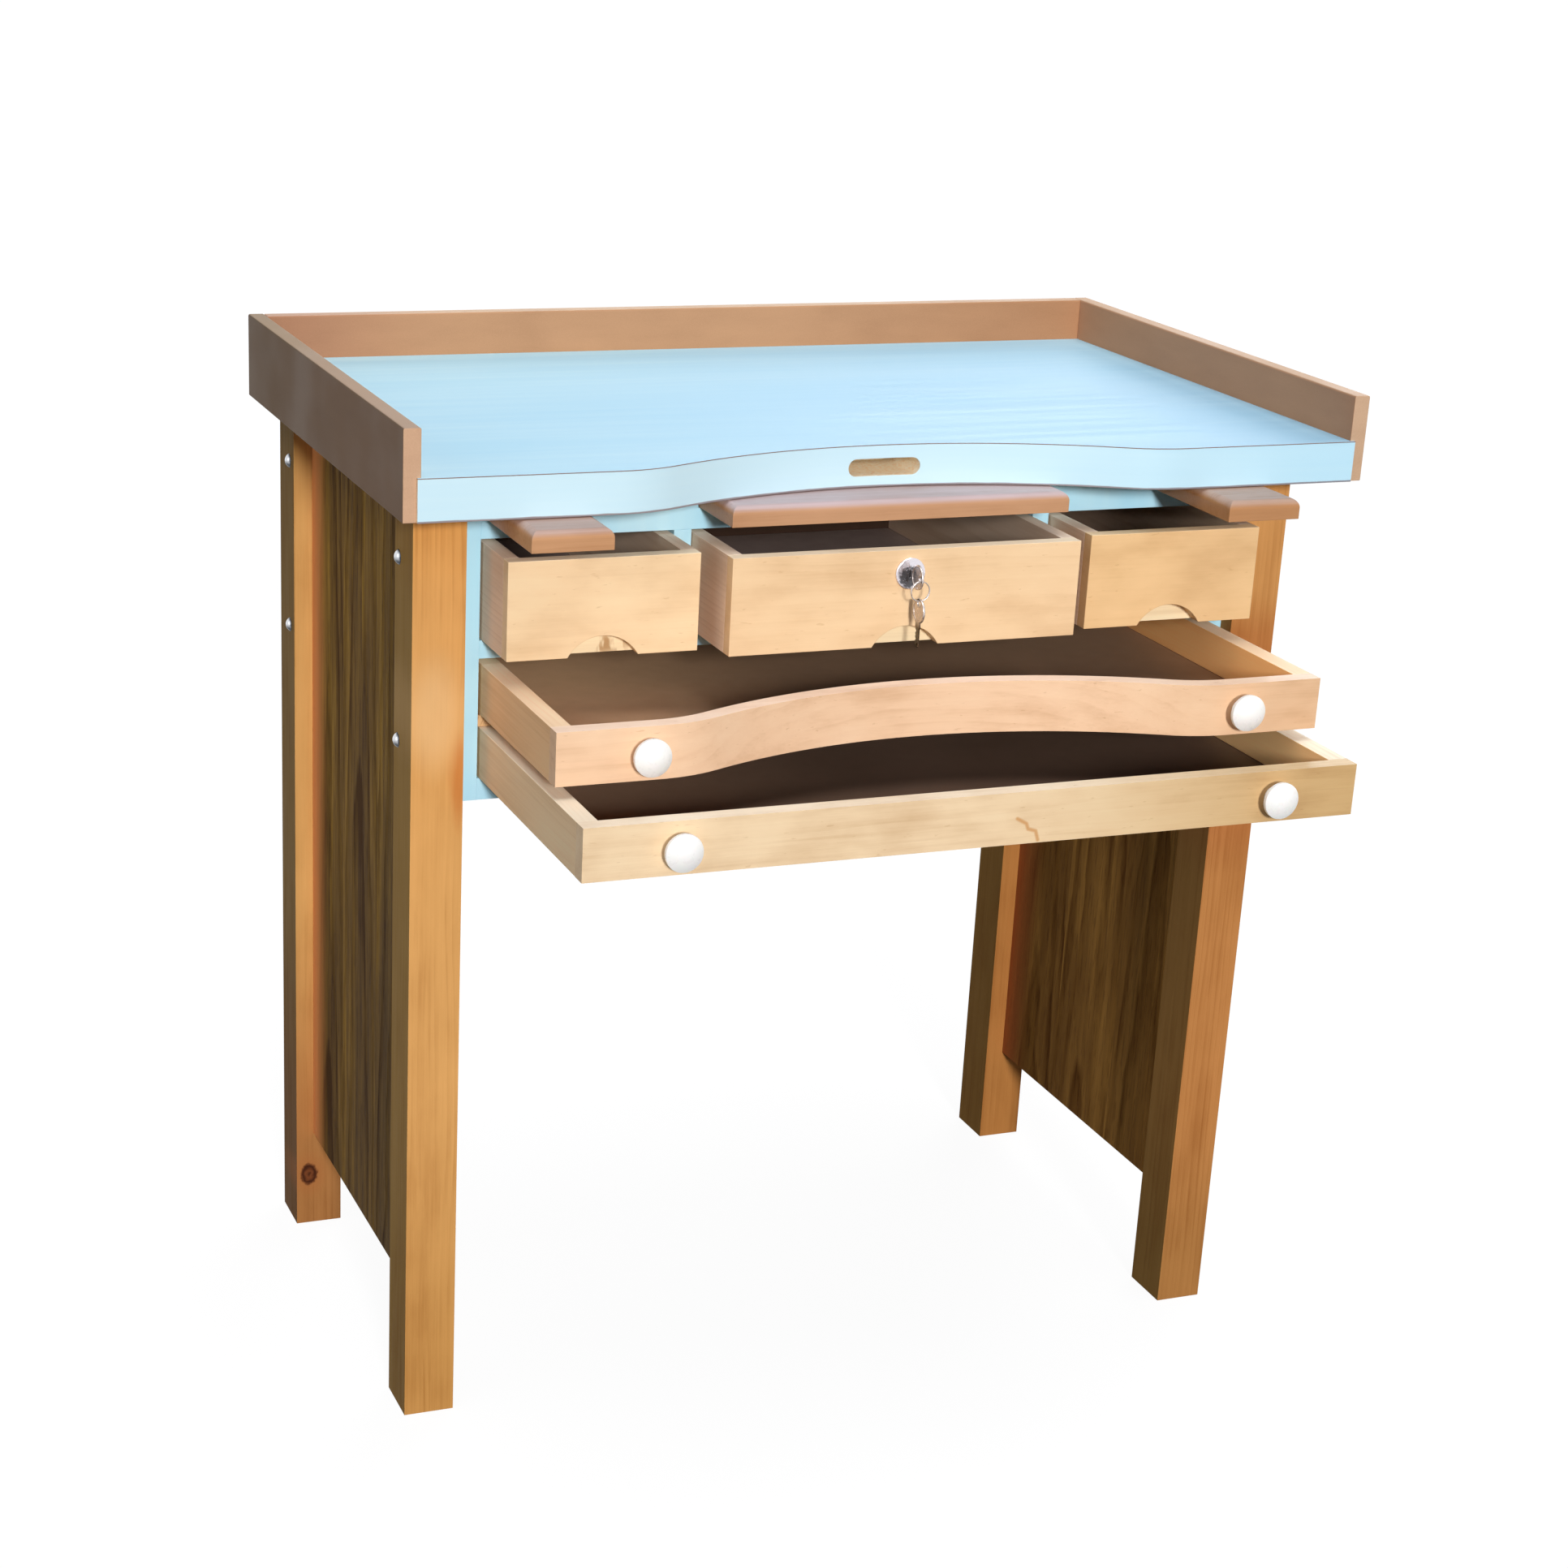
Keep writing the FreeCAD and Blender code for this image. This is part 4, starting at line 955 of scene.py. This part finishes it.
def ring_mesh(name, radius):
    """A split ring: two close turns of wire in the XY plane, with its two ends side by side."""
    build = bmesh.new()
    count = RING_TURNS * RING_STEPS
    loops = []
    for i in range(count + 1):
        share = i / count
        angle = 2 * math.pi * RING_TURNS * share + RING_START
        height = math.tanh((share - 0.5) * RING_STEP_OVER) * WIRE
        outward = Vector((math.cos(angle), math.sin(angle), 0.0))
        middle = outward * radius + Vector((0.0, 0.0, height))
        loop = []
        for j in range(SIDES_OF_WIRE):
            turn = 2 * math.pi * j / SIDES_OF_WIRE
            upward = Vector((0.0, 0.0, math.sin(turn) * WIRE * WIRE_FLATNESS))
            loop.append(build.verts.new(middle + outward * math.cos(turn) * WIRE + upward))
        loops.append(loop)
    for before, after in zip(loops[:-1], loops[1:]):
        for j in range(SIDES_OF_WIRE):
            k = (j + 1) % SIDES_OF_WIRE
            build.faces.new((before[j], before[k], after[k], after[j]))
    build.faces.new(loops[0][::-1])
    build.faces.new(loops[-1])
    return smooth(finished_mesh(name, build))


def dark_reflection(middle):
    """Painted reflection: a mottled dark patch from the lock's middle to its foot, for the dark that the
    chrome mirrors in its lower half.
    """
    def extra(g, colour):
        rough = g.swing(g.noise(g.place, 260.0, 3.0), 1.1)
        reflected = g.patch(middle + DARK_REFLECTION_OFFSET, DARK_REFLECTION_RADII, 0.75, 1.15, 0.9, rough)
        return g.mix(reflected, colour, DARK_REFLECTION)
    return extra


def dress_lock():
    middle = centre("lock_cylinder")
    chrome = metal("lock_chrome", LOCK_CHROME, 0.2, turned=middle, wear=0.35, extra=dark_reflection(middle))
    dress(chrome, "lock_cylinder", "lock_plug", edge=0.25 * MM)
    dress(metal("lock_zinc", (0.6, 0.62, 0.66, 1.0), 0.3), "lock_nut", "lock_cam", edge=0.2 * MM)
    steel = metal("key_nickel", KEY_NICKEL, 0.3, wear=0.7)

    hole = Vector((middle.x, low_corner("key").y + KEY_BOW - KEY_HOLE_OFFSET, middle.z))
    blade_back = Matrix(((0, 0, 1, 0), (1, 0, 0, 0), (0, 1, 0, 0), (0, 0, 0, 1)))
    key = key_mesh("key_detail")
    key.transform(Matrix.Translation(hole) @ blade_back)
    new_piece("key_detail", key, steel, "lock_plug", "key")

    spare_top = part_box("spare_key")[1].z
    hung = Vector((middle.x, hole.y, spare_top - KEY_BOW + KEY_HOLE_OFFSET))
    blade_down = Matrix(((0, 0, 1, 0), (0, -1, 0, 0), (-1, 0, 0, 0), (0, 0, 0, 1)))
    spare = key_mesh("spare_key_detail")
    spare.transform(Matrix.Translation(hung) @ blade_down)
    neck = (hung.z - KEY_HOLE_OFFSET - KEY_BOW) / MM
    # the spare key's blade is darker than its bow
    dark_blade = (("z", neck - 5, neck + 4, (0.34, 0.31, 0.24)),)
    dark_blade_steel = metal("spare_key_nickel", KEY_NICKEL, 0.3, wear=0.7, fades=dark_blade)
    new_piece("spare_key_detail", spare, dark_blade_steel, "spare_key", "spare_key")

    low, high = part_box("key_ring")
    ring = ring_mesh("split_ring", (high.x - low.x) / 2 - WIRE)
    upright = Matrix.Rotation(math.radians(90), 4, "X")
    ring.transform(Matrix.Translation(centre("key_ring")) @ upright)
    new_piece("split_ring", ring, steel, "lock_plug", "key_ring")


# -------------------- the knobs' screws
SCREW_HEAD = 4 * MM              # radius
SCREW_HEAD_HEIGHT = 2.6 * MM
SCREW_HEAD_CHAMFER = 0.2 * MM
SCREW_SHANK = 2 * MM             # radius
SCREW_ROUNDING = 0.5 * MM
RECESS_REACH = 2.1 * MM          # half length of an arm of the cross
RECESS_HALF = 0.45 * MM          # half width
RECESS_DEPTH = 1.3 * MM


def screw_mesh(name, length):
    """A pan head screw along +Z: its tip at the origin, and a cross recess in its head."""
    seat = length - SCREW_HEAD_HEIGHT
    floor_z = length - RECESS_DEPTH
    body = turned_mesh(name, [
        (0.0, 0.0), (SCREW_SHANK - SCREW_ROUNDING, 0.0), (SCREW_SHANK, SCREW_ROUNDING),
        (SCREW_SHANK, seat), (SCREW_HEAD - SCREW_HEAD_CHAMFER, seat),
        (SCREW_HEAD, seat + SCREW_HEAD_CHAMFER), (SCREW_HEAD, floor_z), (0.0, floor_z)], 32)
    arm, half = RECESS_REACH, RECESS_HALF
    cross = []
    for quarter in range(4):
        turn = Matrix.Rotation(math.radians(-90 * quarter), 2)
        cross += [tuple(turn @ Vector(corner)) for corner in ((-half, half), (-half, arm), (half, arm))]
    rim = plate_mesh(name, [arc(0.0, SCREW_HEAD, 32), cross], RECESS_DEPTH / 2, SCREW_ROUNDING)
    places = (Matrix.Identity(4), Matrix.Translation((0, 0, floor_z + RECESS_DEPTH / 2)))
    return joined(name, (body, rim), places)


def dress_knob_screws():
    zinc = metal("screw_zinc", (0.62, 0.62, 0.64, 1.0), 0.3)
    inwards = Matrix.Rotation(math.radians(-90), 4, "X")
    for body in ("upper_tray", "lower_tray"):
        low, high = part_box(body + "_knob_screws")
        screw = screw_mesh("knob_screw", high.y - low.y)
        height = (low.z + high.z) / 2
        places = [
            Matrix.Translation((x, low.y, height)) @ inwards
            for x in (low.x + SCREW_HEAD, high.x - SCREW_HEAD)]
        pair = joined(body + "_screws_detail", (screw, screw), places)
        new_piece(body + "_screws_detail", pair, zinc, body, body + "_knob_screws")


# -------------------- floor, sky, lamps, camera
def backdrop_share(tree):
    """1 for rays that show the backdrop: from the camera, mirrors and glass."""
    path = tree.nodes.new("ShaderNodeLightPath")
    total = path.outputs["Is Camera Ray"]
    for name in ("Is Glossy Ray", "Is Transmission Ray"):
        either = tree.nodes.new("ShaderNodeMath")
        either.operation = "MAXIMUM"
        tree.links.new(total, either.inputs[0])
        tree.links.new(path.outputs[name], either.inputs[1])
        total = either.outputs[0]
    return total


def mixed_shaders(tree, share, first, second):
    """A mix of two shaders: a share, as a number or a socket, of the second one."""
    mix = tree.nodes.new("ShaderNodeMixShader")
    if isinstance(share, bpy.types.NodeSocket):
        tree.links.new(share, mix.inputs[0])
    else:
        mix.inputs[0].default_value = share
    tree.links.new(first.outputs[0], mix.inputs[1])
    tree.links.new(second.outputs[0], mix.inputs[2])
    return mix


def make_floor():
    build = bmesh.new()
    bmesh.ops.create_grid(build, x_segments=4, y_segments=4, size=FLOOR_REACH)
    mesh = bpy.data.meshes.new("floor")
    build.to_mesh(mesh)
    build.free()
    floor = bpy.data.objects.new("floor", mesh)
    floor.location.z = -FLOOR_DROP
    scene.collection.objects.link(floor)
    material = bpy.data.materials.new("floor_white")
    material.use_nodes = True
    tree = material.node_tree
    tree.nodes.clear()
    bounce = tree.nodes.new("ShaderNodeBsdfDiffuse")
    bounce.inputs["Color"].default_value = grey(FLOOR_BOUNCE)
    white = tree.nodes.new("ShaderNodeBsdfDiffuse")
    white.inputs["Color"].default_value = grey(1.0)
    glow = tree.nodes.new("ShaderNodeEmission")
    glow.inputs["Strength"].default_value = FLOOR_GLOW
    shown = mixed_shaders(tree, FLOOR_SHADOW, glow, white)
    either = mixed_shaders(tree, backdrop_share(tree), bounce, shown)
    output = tree.nodes.new("ShaderNodeOutputMaterial")
    tree.links.new(either.outputs[0], output.inputs["Surface"])
    mesh.materials.append(material)


def make_sky():
    world = bpy.data.worlds.new("studio")
    world.use_nodes = True
    tree = world.node_tree
    mix = tree.nodes.new("ShaderNodeMix")
    mix.data_type = "RGBA"
    tree.links.new(backdrop_share(tree), mix.inputs[0])
    mix.inputs[6].default_value = SKY + (1.0,)
    mix.inputs[7].default_value = grey(1.0)
    tree.links.new(mix.outputs[2], tree.nodes["Background"].inputs["Color"])
    scene.world = world


def make_sun(name, share, azimuth, elevation, size):
    """A broad distant lamp: azimuth turns from the bench's front towards its right end."""
    lamp = bpy.data.lights.new(name, "SUN")
    azimuth, elevation = math.radians(azimuth), math.radians(elevation)
    lamp.energy = share * math.pi
    lamp.angle = math.radians(size)
    towards = Vector((
        math.sin(azimuth) * math.cos(elevation), -math.cos(azimuth) * math.cos(elevation),
        math.sin(elevation)))
    holder = bpy.data.objects.new(name, lamp)
    holder.rotation_mode = "QUATERNION"
    holder.rotation_quaternion = towards.to_track_quat("Z", "Y")
    scene.collection.objects.link(holder)


def make_camera():
    data = bpy.data.cameras.new("camera")
    data.sensor_width = SENSOR_WIDTH
    data.lens = SENSOR_WIDTH * FOCAL_PIXELS / FRAME_PIXELS
    data.shift_x = (FRAME_PIXELS / 2 - AXIS_PIXEL[0]) / FRAME_PIXELS
    data.shift_y = (AXIS_PIXEL[1] - FRAME_PIXELS / 2) / FRAME_PIXELS
    level = math.cos(CAMERA_PITCH)
    forward = Vector((
        math.sin(CAMERA_YAW) * level, math.cos(CAMERA_YAW) * level, math.sin(CAMERA_PITCH)))
    right = Vector((math.cos(CAMERA_YAW), -math.sin(CAMERA_YAW), 0.0))
    up = right.cross(forward)
    rolled_right = right * math.cos(CAMERA_ROLL) + up * math.sin(CAMERA_ROLL)
    rolled_up = up * math.cos(CAMERA_ROLL) - right * math.sin(CAMERA_ROLL)
    turned = Matrix((rolled_right, rolled_up, -forward)).transposed().to_4x4()
    camera = bpy.data.objects.new("camera", data)
    camera.matrix_world = Matrix.Translation(CAMERA_PLACE) @ turned
    scene.collection.objects.link(camera)
    scene.camera = camera


dress_frame()
dress_worktop()
dress_carcass()
dress_drawers()
dress_trays()
dress_pull_outs()
dress_lock()
dress_knob_screws()
make_floor()
make_sky()
for lamp_name, setting in LAMPS.items():
    make_sun(lamp_name, *setting)
make_camera()
scene.view_settings.view_transform = "Standard"
